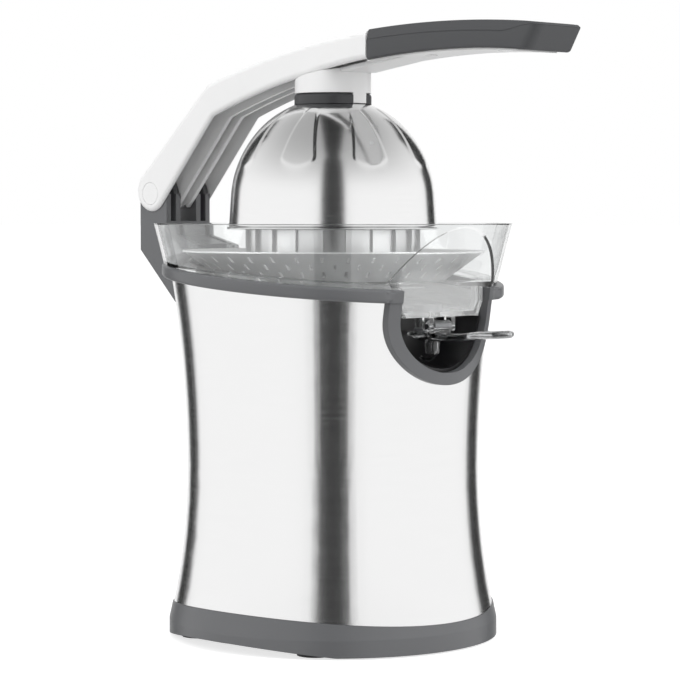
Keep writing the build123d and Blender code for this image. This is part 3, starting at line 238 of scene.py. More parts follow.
FINISHES = {
    # Shell and dome: bright sheet whose level brush lines draw reflections out into upright bands
    "brushed_stainless": brushed_steel(
        "brushed_stainless_sheet", "#F3F3F3", rough=0.17, grain=0.9 * MM, streak=0.35, vary=0.02
    ),
    # Rods, pins, screws and shafts: plain grey metal with small sharp highlights
    "bright_steel": machined("bright_drawn_steel", "#C9CACB", rough=0.25),
    # Base, collar and hinge tower: middle grey with a broad satin sheen
    "grey_abs": moulded(
        "moulded_grey_abs", "#5E5F61", rough=0.36, pebble=0.7 * MM, depth=0.02 * MM, vary=0.03, ior=1.56
    ),
    # Dome hub: darker and a little duller than the collar
    "dark_abs": moulded(
        "moulded_dark_grey_abs", "#363739", rough=0.42, pebble=0.7 * MM, depth=0.02 * MM, vary=0.04, ior=1.53
    ),
    # Recess liner, switch and fan: near black, so that the clear lever stands out in the recess
    "black_abs": moulded(
        "moulded_black_abs", "#0E0E0F", rough=0.3, pebble=0.7 * MM, depth=0.01 * MM, vary=0.05, ior=1.53
    ),
    # Feet, grommet, seal and motor mount: dull black with no clear highlight
    "black_rubber": moulded(
        "moulded_black_rubber", "#2A2A2B", rough=0.7, pebble=0.9 * MM, depth=0.04 * MM, vary=0.06, ior=1.52
    ),
    # Outlet seal and valve plug: soft grey with a waxy sheen
    "grey_silicone": moulded(
        "cast_grey_silicone", "#5C5D5F", rough=0.45, pebble=0.8 * MM, depth=0.02 * MM, vary=0.05, ior=1.43
    ),
    # Clear parts: seen mostly by their bright and dark edges
    "clear_plastic": clear_moulding("clear_styrene_moulding", "#F7F8F8", rough=0.03, depth=0.05 * MM),
    # Arm and pin caps: even white with a soft satin sheen
    "white_arm": moulded(
        "satin_white_paint_on_casting",
        "#EBEBEB",
        rough=0.38,
        pebble=0.6 * MM,
        depth=0.008 * MM,
        vary=0.015,
        ior=1.5,
    ),
    # Grip: dark, matt and even
    "soft_grip": moulded(
        "soft_touch_overmould", "#434446", rough=0.5, pebble=0.6 * MM, depth=0.012 * MM, vary=0.05, ior=1.5
    ),
    # Reamer: light steel with blurred reflections between its ribs
    "polished_steel": machined("polished_pressed_steel", "#F0F0F0", rough=0.3, vary=0.03),
    # Deck, end bell and gear case: chalky white under the clear bowl
    "die_cast": moulded(
        "powder_coated_die_casting",
        "#ECECEC",
        rough=0.5,
        pebble=0.8 * MM,
        depth=0.02 * MM,
        vary=0.02,
        ior=1.5,
    ),
    # Bushes: dull brown-gold, porous
    "sintered_bronze": machined("sintered_bronze", "#A98554", rough=0.4),
    # Stator and rotor: dark grey, stacked sheet
    "lamination_steel": machined("stacked_lamination_steel", "#77787B", rough=0.5),
    # Field coils: warm red-brown wire under clear enamel
    "copper_winding": machined("enamelled_copper_winding", "#A65A2A", rough=0.35),
    # Gears: creamy and slightly waxy
    "gear_nylon": moulded(
        "moulded_natural_nylon", "#E6E2D2", rough=0.4, pebble=0.8 * MM, depth=0.01 * MM, vary=0.04, ior=1.53
    ),
}

# Bowl: as clear as the other clear parts, with a milky spout box
BOWL_FINISH = clear_moulding("clear_styrene_bowl", "#F7F8F8", rough=0.03, depth=0.05 * MM, haze=SPOUT_HAZE)
# Drip-stop lever: faintly smoky, so that it reads against white and black
LEVER_FINISH = clear_moulding("smoky_styrene_lever", "#C4C5C6", rough=0.04, depth=0.03 * MM)
# Strainer: perforated sheet tumbled bright, lighter and duller than the shell
STRAINER_FINISH = machined("tumbled_perforated_sheet", "#F6F6F6", rough=0.5, vary=0.02)

slot_of = {entry["node"]: entry["material_slot"] for entry in frame["record"]["subparts"]}
for node_name, node_object in nodes.items():
    node_object.data.materials.clear()
    node_object.data.materials.append(FINISHES[slot_of[node_name]])
nodes["juice_bowl"].data.materials[0] = BOWL_FINISH
nodes["dome_hub"].data.materials[0] = FINISHES["dark_abs"]
nodes["strainer"].data.materials[0] = STRAINER_FINISH


# Pieces modelled here


def new_piece(name, points, faces, slot, body, *stands_for, sharp=35):
    """A mesh from millimetre points that rides on a body and stands for CAD nodes.

    Edges that turn by more than sharp, in degrees, stay crisp.
    """
    mesh = bpy.data.meshes.new(name)
    mesh.from_pydata([Vector(point) * MM for point in points], [], faces)
    work = bmesh.new()
    work.from_mesh(mesh)
    bmesh.ops.recalc_face_normals(work, faces=work.faces)
    work.to_mesh(mesh)
    work.free()
    mesh.shade_smooth()
    mesh.set_sharp_from_angle(angle=math.radians(sharp))
    mesh.materials.append(FINISHES[slot])
    made = bpy.data.objects.new(name, mesh)
    bpy.context.scene.collection.objects.link(made)
    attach(made, body)
    if stands_for:
        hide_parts(*stands_for)
    return made


def smooth_step(value):
    """0 below 0, 1 above 1, and a soft S between."""
    share = min(max(value, 0.0), 1.0)
    return share * share * (3 - 2 * share)


def spread(start, end, count):
    """Evenly spaced values, both ends included."""
    return [start + (end - start) * step / (count - 1) for step in range(count)]


def arc(start, through, end, count):
    """Points of the circle's arc through three points in a plane."""
    (ax, ay), (bx, by), (cx, cy) = start, through, end
    twice = 2 * (ax * (by - cy) + bx * (cy - ay) + cx * (ay - by))
    a2, b2, c2 = ax * ax + ay * ay, bx * bx + by * by, cx * cx + cy * cy
    ox = (a2 * (by - cy) + b2 * (cy - ay) + c2 * (ay - by)) / twice
    oy = (a2 * (cx - bx) + b2 * (ax - cx) + c2 * (bx - ax)) / twice
    radius = math.hypot(ax - ox, ay - oy)
    first = math.atan2(ay - oy, ax - ox)
    sweep = math.remainder(math.atan2(cy - oy, cx - ox) - first, 2 * math.pi)
    angles = spread(first, first + sweep, count)
    return [(ox + radius * math.cos(angle), oy + radius * math.sin(angle)) for angle in angles]


def grid_faces(rows, columns, closed):
    """Quads of a grid of points stored row by row."""
    faces = []
    for row in range(rows - 1):
        for column in range(columns if closed else columns - 1):
            beside = (column + 1) % columns
            low, high = row * columns, (row + 1) * columns
            faces.append((low + column, low + beside, high + beside, high + column))
    return faces


def run_lengths(line):
    """Distance along a line at each of its points."""
    lengths = [0.0]
    for before, after in zip(line, line[1:]):
        lengths.append(lengths[-1] + math.dist(before, after))
    return lengths


def even_steps(line, count):
    """The same line with evenly spaced points."""
    lengths = run_lengths(line)
    points = []
    spot = 0
    for target in spread(0, lengths[-1], count):
        while spot < len(lengths) - 2 and lengths[spot + 1] < target:
            spot += 1
        share = (target - lengths[spot]) / (lengths[spot + 1] - lengths[spot])
        points.append(tuple(a + (b - a) * share for a, b in zip(line[spot], line[spot + 1])))
    return points


def eased(line):
    """The line with each inner point drawn halfway to the middle of its neighbours."""
    inner = []
    for before, point, after in zip(line, line[1:], line[2:]):
        inner.append(tuple((a + 2 * b + c) / 4 for a, b, c in zip(before, point, after)))
    return [line[0], *inner, line[-1]]


def line_normal(line, at):
    """The unit normal at a point of a line, to the right of its run."""
    before, after = line[max(at - 1, 0)], line[min(at + 1, len(line) - 1)]
    run = math.dist(before, after)
    return (after[1] - before[1]) / run, -(after[0] - before[0]) / run


# Dome: one pressed sheet with eight raised petals

DOME_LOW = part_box("dome_shell")[0][2] / MM
DOME_FLANGE_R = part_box("dome_shell")[1][0] / MM
DOME_FOOT_R = 58.0
DOME_FOOT_BEND = 1.0
DOME_WALL_R = 56.7
DOME_WALL_HEIGHT = 23.0
DOME_SHEET = 1.2
DOME_BEND = (50.5, 42.0)  # radius and height over the flange, like the three below
DOME_SHOULDER = (42.0, 54.5)
DOME_BROW = (33.0, 62.7)
DOME_CROWN = (21.0, 69.0)
DOME_TOP_R = 6.0
DOME_TOP_RISE = 1.0
SMALL_INSET = 0.3  # middle of a small rounding inside its corner, as a share of its radius
PETALS = 8
PETAL_DEPTH = 0.38
PETAL_WIDE = 10.6  # radius of the petal's lower end
PETAL_NARROW = 3.8
PETAL_WIDE_HEIGHT = 37.5  # middle of the lower end over the flange
PETAL_NARROW_R = 28.5  # middle of the upper end from the axis
PETAL_EDGE = 1.6  # width of the slope at a petal's sides
PETAL_SOFT_EDGE = 18.0  # width of the slope at its lower end
PETAL_SOFT_START = 0.15  # where the soft end starts over its middle, as a share of its radius
DOME_COLUMNS = 440
DOME_ROWS = 96
DOME_EASE = 60  # rounds of easing where the wall turns into the crown
DOME_FOOT_STEPS = 5
DOME_WALL_STEPS = 8
DOME_SHOULDER_STEPS = 60
DOME_CROWN_STEPS = 40


def dome_profile():
    """The sheet's outside as (radius, height over the flange): flange, side and crown, top."""
    inset = SMALL_INSET * DOME_FOOT_BEND
    foot = (DOME_FOOT_R, DOME_SHEET + DOME_FOOT_BEND)
    foot_start = (DOME_FOOT_R + DOME_FOOT_BEND, DOME_SHEET)
    bend = arc(foot_start, (DOME_FOOT_R + inset, DOME_SHEET + inset), foot, DOME_FOOT_STEPS)
    wall_radii = spread(DOME_FOOT_R, DOME_WALL_R, DOME_WALL_STEPS)
    wall_heights = spread(foot[1], DOME_WALL_HEIGHT, DOME_WALL_STEPS)
    side = list(zip(wall_radii, wall_heights))
    side += arc((DOME_WALL_R, DOME_WALL_HEIGHT), DOME_BEND, DOME_SHOULDER, DOME_SHOULDER_STEPS)[1:]
    side += arc(DOME_SHOULDER, DOME_BROW, DOME_CROWN, DOME_CROWN_STEPS)[1:]
    side = even_steps(side, DOME_ROWS)
    for _ in range(DOME_EASE):
        side = eased(side)
    return [(DOME_FLANGE_R, DOME_SHEET), *bend[:-1]], side, [(DOME_TOP_R, DOME_CROWN[1] + DOME_TOP_RISE)]


def petal_distance(along, across, reach):
    """Distance outside a petal: two circles and the straight sides that touch both."""
    across = abs(across)
    taper = (PETAL_WIDE - PETAL_NARROW) / reach
    side = math.sqrt(1 - taper * taper)
    place = side * along - taper * across
    if place < 0:
        return math.hypot(along, across) - PETAL_WIDE
    if place > side * reach:
        return math.hypot(along - reach, across) - PETAL_NARROW
    return side * across + taper * along - PETAL_WIDE


def petal_rise(along, across, reach):
    """A petal's height over the sheet: crisp at its sides, soft at its lower end."""
    outside = petal_distance(along, across, reach)
    low_end = smooth_step(PETAL_SOFT_START - along / PETAL_WIDE)
    edge = PETAL_EDGE + (PETAL_SOFT_EDGE - PETAL_EDGE) * low_end
    return PETAL_DEPTH * smooth_step(-outside / edge)


def dome():
    lower, upper, top = dome_profile()
    lengths = run_lengths(upper)
    wide_at = min(zip(lengths, upper), key=lambda pair: abs(pair[1][1] - PETAL_WIDE_HEIGHT))[0]
    narrow_at = min(zip(lengths, upper), key=lambda pair: abs(pair[1][0] - PETAL_NARROW_R))[0]
    profile = lower + upper + top
    step = 2 * math.pi / PETALS
    points = []
    for row, (radius, height) in enumerate(profile):
        normal = line_normal(profile, row)
        on_side = len(lower) <= row < len(lower) + len(upper)
        for column in range(DOME_COLUMNS):
            angle = 2 * math.pi * column / DOME_COLUMNS
            raised = 0.0
            if on_side:
                along = lengths[row - len(lower)] - wide_at
                across = radius * math.remainder(angle - step / 2, step)
                raised = petal_rise(along, across, narrow_at - wide_at)
            out = radius + raised * normal[0]
            level = DOME_LOW + height + raised * normal[1]
            points.append((out * math.cos(angle), out * math.sin(angle), level))
    faces = grid_faces(len(profile), DOME_COLUMNS, closed=True)
    made = new_piece("pressed_dome", points, faces, "brushed_stainless", "arm", "dome_shell")
    sheet = made.modifiers.new("sheet", "SOLIDIFY")
    sheet.thickness = DOME_SHEET * MM
    sheet.offset = -1.0


dome()


# Grip: soft-touch shell with a bevelled upper edge and a slanted end

GRIP_START = 43.4  # forward of the spindle
GRIP_TIP = 164.5
GRIP_HALF = 19.4
GRIP_CORNER = 6.0
CORNER_INSET = 0.293  # middle of a quarter circle inside its corner, as a share of its radius
GRIP_TOP = 335.05
GRIP_TIP_TOP = 333.2
GRIP_CROWN = 2.8
GRIP_UNDER = 318.7
GRIP_TIP_UNDER = 319.2
GRIP_UNDER_CROWN = 3.1
GRIP_SLANT = 8.0  # the end's lower edge lies this far behind its upper one
GRIP_BEVEL_DOWN = 5.4
GRIP_BEVEL_IN = 1.5
GRIP_BEVEL_START = 0.3  # over the groove
GRIP_EDGE = 1.2
GRIP_GROOVE = 0.35  # depth of the line under the bevel
GRIP_GROOVE_WIDTH = 0.5
GRIP_STEP = 0.1  # the bevel starts this far inside the side
GRIP_CREST_TURN = 0.2  # radians of the upper edge's rounding that the bevel takes up
# Shares of the grip's length from the arm to the tip
GRIP_SLANT_FROM = 0.45
GRIP_FADE_FROM = 0.8
GRIP_FADE_RUN = 0.17
GRIP_END_FROM = 0.9
GRIP_FADE = 0.75  # share of the bevel's height that is lost at the tip
GRIP_SIDE_STEPS = 40
GRIP_CORNER_STEPS = 12
GRIP_END_STEPS = 6
GRIP_EDGE_STEPS = 5
GRIP_BEVEL_STEPS = 4
GRIP_CREST_STEPS = 6


def grip_plan():
    """Half of the plan outline as (x, forward), from the arm round to the middle of the tip."""
    side_start, side_end = GRIP_START + GRIP_EDGE, GRIP_TIP - GRIP_CORNER
    inset = SMALL_INSET * GRIP_EDGE
    start = arc(
        (GRIP_HALF - GRIP_EDGE, GRIP_START),
        (GRIP_HALF - inset, GRIP_START + inset),
        (GRIP_HALF, side_start),
        GRIP_EDGE_STEPS,
    )
    side = [(GRIP_HALF, forward) for forward in spread(side_start, side_end, GRIP_SIDE_STEPS)]
    middle = (GRIP_HALF - CORNER_INSET * GRIP_CORNER, GRIP_TIP - CORNER_INSET * GRIP_CORNER)
    corner = arc((GRIP_HALF, side_end), middle, (GRIP_HALF - GRIP_CORNER, GRIP_TIP), GRIP_CORNER_STEPS)
    end = [(x, GRIP_TIP) for x in spread(GRIP_HALF - GRIP_CORNER, 0.0, GRIP_END_STEPS)]
    return start[:-1] + side + corner[1:] + end[1:]


def grip_levels():
    """Rings from the bottom up: which edge they are measured from, how far from it, and the inset."""
    levels = []
    for turn in spread(0.0, math.pi / 2, GRIP_EDGE_STEPS):
        levels.append(("low", GRIP_EDGE * (1 - math.cos(turn)), GRIP_EDGE * (1 - math.sin(turn))))
    levels.append(("high", GRIP_BEVEL_DOWN + GRIP_GROOVE_WIDTH, 0.0))
    levels.append(("high", GRIP_BEVEL_DOWN + GRIP_GROOVE_WIDTH / 2, GRIP_GROOVE))
    levels.append(("high", GRIP_BEVEL_DOWN, GRIP_STEP))
    lean = GRIP_BEVEL_IN / GRIP_BEVEL_DOWN
    for down in spread(GRIP_BEVEL_DOWN - GRIP_BEVEL_START, GRIP_EDGE, GRIP_BEVEL_STEPS):
        levels.append(("high", down, GRIP_STEP + (GRIP_BEVEL_DOWN - down) * lean))
    crest_in = levels[-1][2]
    for turn in spread(GRIP_CREST_TURN, math.pi / 2, GRIP_CREST_STEPS):
        levels.append(("high", GRIP_EDGE * (1 - math.sin(turn)), crest_in + GRIP_EDGE * (1 - math.cos(turn))))
    return levels


def grip():
    plan = grip_plan()
    half = len(plan)
    ring = [(-x, forward) for x, forward in plan] + [(x, forward) for x, forward in reversed(plan[:-1])]
    points = []
    levels = grip_levels()
    for edge, distance, inset in levels:
        for x, forward in ring:
            share = (forward - GRIP_START) / (GRIP_TIP - GRIP_START)
            arch = 4 * share * (1 - share)
            top = GRIP_TOP + (GRIP_TIP_TOP - GRIP_TOP) * share + GRIP_CROWN * arch
            under = GRIP_UNDER + (GRIP_TIP_UNDER - GRIP_UNDER) * share + GRIP_UNDER_CROWN * arch
            fade = 1 - GRIP_FADE * smooth_step((share - GRIP_FADE_FROM) / GRIP_FADE_RUN)
            height = under + distance if edge == "low" else top - distance * fade
            shrink = 1 - inset / GRIP_HALF
            late = smooth_step((share - GRIP_SLANT_FROM) / (1 - GRIP_SLANT_FROM))
            slant = GRIP_SLANT * (top - height) / (top - under) * late
            ahead_in = inset * smooth_step((share - GRIP_END_FROM) / (1 - GRIP_END_FROM))
            points.append((x * shrink, -(forward - slant - ahead_in), height))
    count = len(ring)
    faces = grid_faces(len(levels), count, closed=False)
    for level in (0, len(levels) - 1):
        first = level * count
        for step in range(half - 1):
            left, right = first + step, first + count - 1 - step
            quad = [left, left + 1, right - 1, right]
            faces.append(quad if quad[1] != quad[2] else [left, left + 1, right])
    rear = [level * count for level in range(len(levels))]
    rear += [level * count + count - 1 for level in reversed(range(len(levels)))]
    faces.append(rear)
    new_piece("soft_touch_grip", points, faces, "soft_grip", "arm", "grip", sharp=40)


grip()


# Drip-stop lever: one clear moulding with a scoop under the outlet, a drip tube and a hook

LEVER_PIVOT = (80.0, 175.1)  # forward and height
LEVER_BORE_R = 1.65
LEVER_BARREL_R = 3.2
LEVER_BARREL_HALF = 7.0
LEVER_LEVEL = 171.7
LEVER_NECK = (6.6, 2.8, 169.8, 173.2)  # half width, half length, bottom and top
LEVER_STATIONS = (
    # forward, half width, top, thickness
    (62.0, 7.4, 171.7, 2.4),
    (74.0, 7.2, 171.7, 2.6),
    (80.0, 6.6, 171.7, 4.0),
    (88.0, 6.0, 171.6, 4.4),
    (98.0, 5.3, 171.8, 4.2),
    (105.0, 5.8, 172.7, 4.0),
    (109.0, 7.5, 173.5, 4.5),
    (113.0, 9.6, 174.2, 5.0),
    (117.0, 10.8, 174.5, 5.3),
    (121.0, 10.3, 174.5, 5.2),
    (124.5, 8.7, 174.4, 4.8),
    (127.3, 6.0, 174.0, 4.0),
    (128.9, 3.0, 173.4, 2.8),
    (129.4, 0.8, 172.5, 1.2),
)
THUMB_DISH = 1.1
THUMB_RANGE = (106.0, 127.0)
SCOOP_FORWARD = 70.0
SCOOP_R = 10.5
SCOOP_DEPTH = 5.5
SCOOP_WALL = 1.6
DRIP_FORWARD = 75.0
DRIP_R = 4.0
DRIP_WALL = 1.4
DRIP_LOW = 160.2
HOOK_ROD = 0.9
HOOK_HALF = 6.2
HOOK_DROP = 3.6
LEVER_VOXEL = 0.35  # grain at which the lever's shells are joined into one skin
LEVER_SOFTEN = 0.5
LEVER_SOFTEN_ROUNDS = 10
LEVER_FILL = 7  # sections from one station to the next, both included
SECTION_SIDES = 40
SECTION_ACROSS = 0.6  # powers below 1 square a circle off
SECTION_UP = 0.7
SCOOP_MIDDLE = 0.7  # where the cup's arc is pinned, as a share of its radius
SCOOP_AXIS = 0.05  # the turned cup stops just short of its axis
SCOOP_STEPS = 14
HOOK_STEPS = 24
HOOK_SIDES = 12


def loft(rings, loop=False):
    """A closed skin over rings of points, capped at both ends or run round into itself."""
    count = len(rings[0])
    points = [point for ring in rings for point in ring]
    faces = grid_faces(len(rings), count, closed=True)
    last = len(points) - count
    if loop:
        faces += [(last + at, last + (at + 1) % count, (at + 1) % count, at) for at in range(count)]
    else:
        faces += [tuple(range(count)), tuple(range(last, len(points)))]
    return points, faces


def turned(profile, place, count=48):
    """A closed (radius, along) profile turned about an axis. Place puts it in the object."""
    rings = []
    for step in range(count):
        angle = 2 * math.pi * step / count
        rings.append([place(r * math.cos(angle), r * math.sin(angle), along) for r, along in profile])
    return loft(rings, loop=True)


def lever_blade():
    """Stem and thumb paddle as rounded sections through the stations, with a dished paddle."""
    rings = []
    for (v0, w0, z0, t0), (v1, w1, z1, t1) in zip(LEVER_STATIONS, LEVER_STATIONS[1:]):
        for share in spread(0.0, 1.0, LEVER_FILL)[:-1]:
            forward, half, top, thick = (
                a + (b - a) * share for a, b in ((v0, v1), (w0, w1), (z0, z1), (t0, t1))
            )
            into = (forward - THUMB_RANGE[0]) / (THUMB_RANGE[1] - THUMB_RANGE[0])
            dish = THUMB_DISH * math.sin(math.pi * into) if 0 < into < 1 else 0.0
            rings.append(lever_section(forward, half, top, thick, dish))
    rings.append(lever_section(*LEVER_STATIONS[-1], 0.0))
    return loft(rings)


def lever_section(forward, half, top, thick, dish):
    """A rounded oblong: a circle whose sides are flattened by a power."""
    ring = []
    for step in range(SECTION_SIDES):
        angle = 2 * math.pi * step / SECTION_SIDES
        across = math.copysign(abs(math.cos(angle)) ** SECTION_ACROSS, math.cos(angle))
        up = math.copysign(abs(math.sin(angle)) ** SECTION_UP, math.sin(angle))
        sink = dish * (1 - across * across) if up > 0 else 0.0
        ring.append((half * across, -forward, top - thick / 2 + thick / 2 * up - sink))
    return ring


def cup_arc(radius, depth):
    """A cup's arc from its rim down to its axis."""
    pinned = (SCOOP_MIDDLE * radius, -depth * (1 - SCOOP_MIDDLE**2))
    return arc((radius, 0), pinned, (SCOOP_AXIS, -depth), SCOOP_STEPS)


def lever_scoop():
    """The cup's outside and inside arcs as one closed profile, turned about the outlet."""
    outer = cup_arc(SCOOP_R, SCOOP_DEPTH)
    inner = cup_arc(SCOOP_R - SCOOP_WALL, SCOOP_DEPTH - SCOOP_WALL)
    profile = [(radius, LEVER_LEVEL + drop) for radius, drop in outer + inner[::-1]]
    return turned(profile, lambda x, y, z: (x, y - SCOOP_FORWARD, z))


def lever_hook():
    """A round rod bent up at its end, under the drip tube."""
    start = DRIP_FORWARD + DRIP_R - DRIP_WALL / 2
    path = arc(
        (start, DRIP_LOW + DRIP_WALL),
        (start - HOOK_HALF, DRIP_LOW - HOOK_DROP),
        (start - 2 * HOOK_HALF, DRIP_LOW - HOOK_DROP / 2),
        HOOK_STEPS,
    )
    rings = []
    for at, (forward, height) in enumerate(path):
        normal = line_normal(path, at)
        ring = []
        for step in range(HOOK_SIDES):
            angle = 2 * math.pi * step / HOOK_SIDES
            out = HOOK_ROD * math.cos(angle)
            ring.append((HOOK_ROD * math.sin(angle), -(forward + normal[0] * out), height + normal[1] * out))
        rings.append(ring)
    return loft(rings)


def drip_stop_lever():
    forward, height = LEVER_PIVOT
    half = LEVER_BARREL_HALF
    barrel = [(LEVER_BARREL_R, -half), (LEVER_BARREL_R, half), (LEVER_BORE_R, half), (LEVER_BORE_R, -half)]
    drip_top = LEVER_LEVEL - SCOOP_DEPTH + SCOOP_WALL / 2
    bore = DRIP_R - DRIP_WALL
    drip = [(DRIP_R, DRIP_LOW), (DRIP_R, drip_top), (bore, drip_top), (bore, DRIP_LOW)]
    wide, long, low, high = LEVER_NECK
    corners = [(-wide, long), (wide, long), (wide, -long), (-wide, -long)]
    neck = [[(x, y - forward, level) for x, y in corners] for level in (low, high)]
    shells = (
        lever_blade(),
        turned(barrel, lambda y, z, x: (x, y - forward, z + height)),
        loft(neck),
        lever_scoop(),
        turned(drip, lambda x, y, z: (x, y - DRIP_FORWARD, z)),
        lever_hook(),
    )
    points, faces = [], []
    for shell_points, shell_faces in shells:
        faces += [[corner + len(points) for corner in face] for face in shell_faces]
        points += shell_points
    made = new_piece("drip_stop_lever", points, faces, "clear_plastic", "drip_stop", "drip_lever")
    made.data.materials[0] = LEVER_FINISH
    one_skin = made.modifiers.new("one_skin", "REMESH")
    one_skin.mode = "VOXEL"
    one_skin.voxel_size = LEVER_VOXEL * MM
    one_skin.use_smooth_shade = True
    soft = made.modifiers.new("soft_edges", "SMOOTH")
    soft.factor = LEVER_SOFTEN
    soft.iterations = LEVER_SOFTEN_ROUNDS
    made.visible_shadow = False  # lamps shine through clear plastic


drip_stop_lever()


# Collar: the band runs flush into the U-shaped bezel at both sides of the spout

BEZEL_HALF = 41.2
BEZEL_FRONT_R = 91.5  # the bezel's face just under the band
BEZEL_LEAN = 0.14  # outwards for each millimetre up
BAND_LEVEL = 187.8  # the band's lower edge beside the spout
BAND_BLEND = 5.0  # the band's length that runs down to the bezel
WELD = 0.001  # points closer than this are one


def joined_mesh(node_name):
    """A node's points in millimetres and its faces, with the seams between its faces closed."""
    work = bmesh.new()
    work.from_mesh(nodes[node_name].data)
    bmesh.ops.remove_doubles(work, verts=work.verts, dist=WELD * MM)
    work.verts.index_update()
    points = [vert.co / MM for vert in work.verts]
    faces = [[vert.index for vert in face.verts] for face in work.faces]
    work.free()
    return points, faces


def collar():
    points, faces = joined_mesh("top_collar")
    for point in points:
        reach = math.hypot(point.x, point.y)
        face = BEZEL_FRONT_R + BEZEL_LEAN * (point.z - BAND_LEVEL)
        beside = BEZEL_HALF + BAND_BLEND - abs(point.x)
        if point.y > 0 or point.z < BAND_LEVEL or beside < 0 or reach < face:
            continue
        scale = 1 + (face / reach - 1) * smooth_step(beside / BAND_BLEND)
        point.y *= scale
    new_piece("moulded_collar", points, faces, "grey_abs", "housing", "top_collar", sharp=30)


collar()


# Return spring: rebuilt with its seams closed, as a mesh of its own; in the juicer the pressed reamer
# shortens it


def return_spring():
    points, faces = joined_mesh("return_spring")
    made = new_piece("coiled_return_spring", points, faces, "bright_steel", "housing", "return_spring")
    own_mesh(made)


return_spring()


# Shell: narrow faces along its lower rim take their shading from the wide ones beside them

RIM_WEIGHT = 90

rim = nodes["body_shell"].modifiers.new("even_shading", "WEIGHTED_NORMAL")
rim.mode = "FACE_AREA"
rim.weight = RIM_WEIGHT


# Camera at the photograph's angle

CAMERA_TURN = math.radians(46.0)  # camera to the left of the front
CAMERA_RISE = math.radians(2.85)
CAMERA_DISTANCE = 1460 * MM
AIM_HEIGHT = 164.8 * MM
AIM_RIGHT = 3.92 * MM
IMAGE_PIXELS = 680
FOCAL_PIXELS = 2607
SENSOR_WIDTH = 36.0

ahead = Vector(
    (
        math.sin(CAMERA_TURN) * math.cos(CAMERA_RISE),
        math.cos(CAMERA_TURN) * math.cos(CAMERA_RISE),
        -math.sin(CAMERA_RISE),
    )
)
right = Vector((math.cos(CAMERA_TURN), -math.sin(CAMERA_TURN), 0))
aim = Vector((0, 0, AIM_HEIGHT)) + right * AIM_RIGHT
camera = bpy.data.objects.new("camera", bpy.data.cameras.new("camera"))
bpy.context.scene.collection.objects.link(camera)
camera.data.sensor_width = SENSOR_WIDTH
camera.data.lens = FOCAL_PIXELS / IMAGE_PIXELS * SENSOR_WIDTH
camera.location = aim - ahead * CAMERA_DISTANCE
camera.rotation_mode = "QUATERNION"
camera.rotation_quaternion = ahead.to_track_quat("-Z", "Y")
bpy.context.scene.camera = camera


# Studio: white surround, pale floor, soft lamps, dark cards that the steel mirrors

# Lengths of the studio are metres, and turns are degrees to the right of the camera's side.
ROOM_LIGHT = 0.69
ZENITH = 0.42  # what the steel mirrors from straight above
SKY_FALL_START = 0.1  # the surround darkens from this upward slope on
FLOOR_LIFT = 0.72
FLOOR_SIZE = 60
FLOOR_LEVEL = -0.2 * MM
CARD_SHADE = "#2C2C2C"
CARD_LEVEL = 0.2
CARD_DISTANCE = 2.0
FRONT_TURN = 0.0
DARK_CARDS = (
    # name, turn, width, height
    ("dark_card_front", FRONT_TURN, 0.9, 4.4),
    ("dark_card_back_left", -141.0, 0.8, 3.0),
    ("dark_card_back_right", 141.0, 0.9, 3.0),
)
OVER_CARD = (0.5, 2.4, 0.7, 3.0)  # distance, height over the floor, width, length
LAMP_AIM = 0.18
LAMP_SIZE = 1.2
LAMPS = (
    # name, turn, distance, height, watts
    ("left_softbox", -70, 1.6, 0.9, 11),
    ("right_softbox", 65, 1.6, 0.9, 14),
    ("top_softbox", 20, 0.6, 1.5, 8.5),
)

bpy.context.scene.view_settings.view_transform = "Standard"


def plain_view(tree):
    """1 for straight views and views through clear plastic, which should see plain white."""
    path = add(tree, "LightPath", {})
    pair = {0: path.outputs["Is Camera Ray"], 1: path.outputs["Is Transmission Ray"]}
    return path, add(tree, "Math", pair, operation="MAXIMUM").outputs[0]


def surround():
    world = bpy.data.worlds.new("white_surround")
    world.use_nodes = True
    tree = world.node_tree
    tree.nodes.clear()
    path, seen = plain_view(tree)
    toward = add(tree, "SeparateXYZ", {"Vector": add(tree, "TexCoord", {}).outputs["Generated"]})
    fall = {"Value": toward.outputs["Z"], "From Min": SKY_FALL_START, "To Min": 1.0, "To Max": ZENITH}
    mirrored = add(tree, "MapRange", fall, interpolation_type="SMOOTHSTEP")
    limits = {"To Min": ROOM_LIGHT, "To Max": mirrored.outputs["Result"]}
    level = add(tree, "MapRange", {"Value": path.outputs["Is Glossy Ray"], **limits})
    level = add(tree, "Math", {0: level.outputs["Result"], 1: seen}, operation="MAXIMUM")
    light = add(tree, "Background", {"Color": colour("#FFFFFF"), "Strength": level.outputs[0]})
    add(tree, "OutputWorld", {"Surface": light.outputs[0]})
    bpy.context.scene.world = world


def card(name, centre, facing, width, height, shade, camera_sees=False):
    """A flat glowing card that reflections see, and the camera only on request."""
    mesh = bpy.data.meshes.new(name)
    half, tall = width / 2, height / 2
    corners = [(-half, -tall, 0), (half, -tall, 0), (half, tall, 0), (-half, tall, 0)]
    mesh.from_pydata(corners, [], [(0, 1, 2, 3)])
    made = bpy.data.objects.new(name, mesh)
    bpy.context.scene.collection.objects.link(made)
    made.location = centre
    made.rotation_mode = "QUATERNION"
    made.rotation_quaternion = Vector(facing).to_track_quat("Z", "Y")
    surface = bpy.data.materials.new(name)
    surface.use_nodes = True
    tree = surface.node_tree
    tree.nodes.clear()
    glow = add(tree, "Emission", {"Color": colour(shade), "Strength": 1.0})
    add(tree, "OutputMaterial", {"Surface": glow.outputs[0]})
    mesh.materials.append(surface)
    made.visible_camera = camera_sees
    made.visible_diffuse = False
    made.visible_shadow = False
    made.visible_transmission = False
    return made


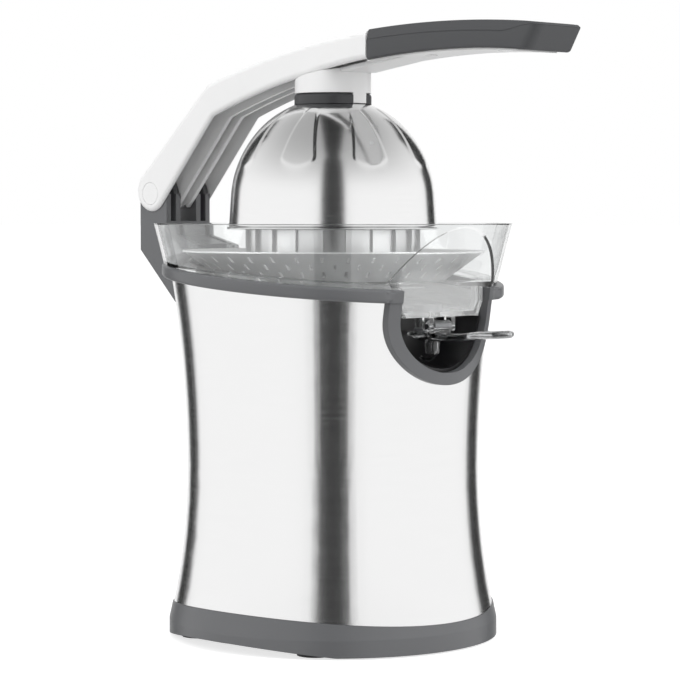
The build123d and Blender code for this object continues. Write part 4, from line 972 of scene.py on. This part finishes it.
def around_object(turn, distance, height):
    """A place round the object, by its turn from the camera's side."""
    angle = math.radians(turn)
    back = -ahead
    side = right * math.sin(angle) + Vector((back.x, back.y, 0)).normalized() * math.cos(angle)
    return side * distance + Vector((0, 0, height))


def cards():
    for name, turn, width, tall in DARK_CARDS:
        centre = around_object(turn, CARD_DISTANCE, CARD_LEVEL)
        made = card(name, centre, Vector((0, 0, CARD_LEVEL)) - centre, width, tall, CARD_SHADE)
        made.visible_transmission = turn == FRONT_TURN
    distance, height, width, length = OVER_CARD
    centre = around_object(FRONT_TURN, distance, height)
    over = card("dark_card_over", centre, (0, 0, -1), width, length, CARD_SHADE)
    over.rotation_mode = "XYZ"
    over.rotation_euler = (math.pi, 0, -CAMERA_TURN)
    over.visible_transmission = True


def lamp(name, turn, distance, height, watts):
    """A square soft lamp aimed at the object, which reflections don't see."""
    light = bpy.data.lights.new(name, "AREA")
    light.shape = "SQUARE"
    light.size = LAMP_SIZE
    light.energy = watts
    made = bpy.data.objects.new(name, light)
    bpy.context.scene.collection.objects.link(made)
    made.location = around_object(turn, distance, height)
    toward = Vector((0, 0, LAMP_AIM)) - made.location
    made.rotation_mode = "QUATERNION"
    made.rotation_quaternion = toward.to_track_quat("-Z", "Y")
    made.visible_glossy = False


def floor():
    """Pale matt floor, lifted to the surround's white for the camera."""
    centre = (0, 0, FLOOR_LEVEL)
    made = card("pale_floor", centre, (0, 0, 1), FLOOR_SIZE, FLOOR_SIZE, "#FFFFFF", camera_sees=True)
    made.visible_diffuse = True
    made.visible_glossy = False
    tree = made.data.materials[0].node_tree
    tree.nodes.clear()
    seen = plain_view(tree)[1]
    paint = add(tree, "BsdfDiffuse", {"Color": colour("#C4C4C4")})
    lift = add(tree, "Math", {0: seen, 1: FLOOR_LIFT}, operation="MULTIPLY")
    glow = add(tree, "Emission", {"Color": colour("#FFFFFF"), "Strength": lift.outputs[0]})
    both = add(tree, "AddShader", {0: paint.outputs[0], 1: glow.outputs[0]})
    add(tree, "OutputMaterial", {"Surface": both.outputs[0]})


surround()
cards()
floor()
nodes["juice_bowl"].visible_shadow = False  # lamps shine through clear plastic
for softbox in LAMPS:
    lamp(*softbox)
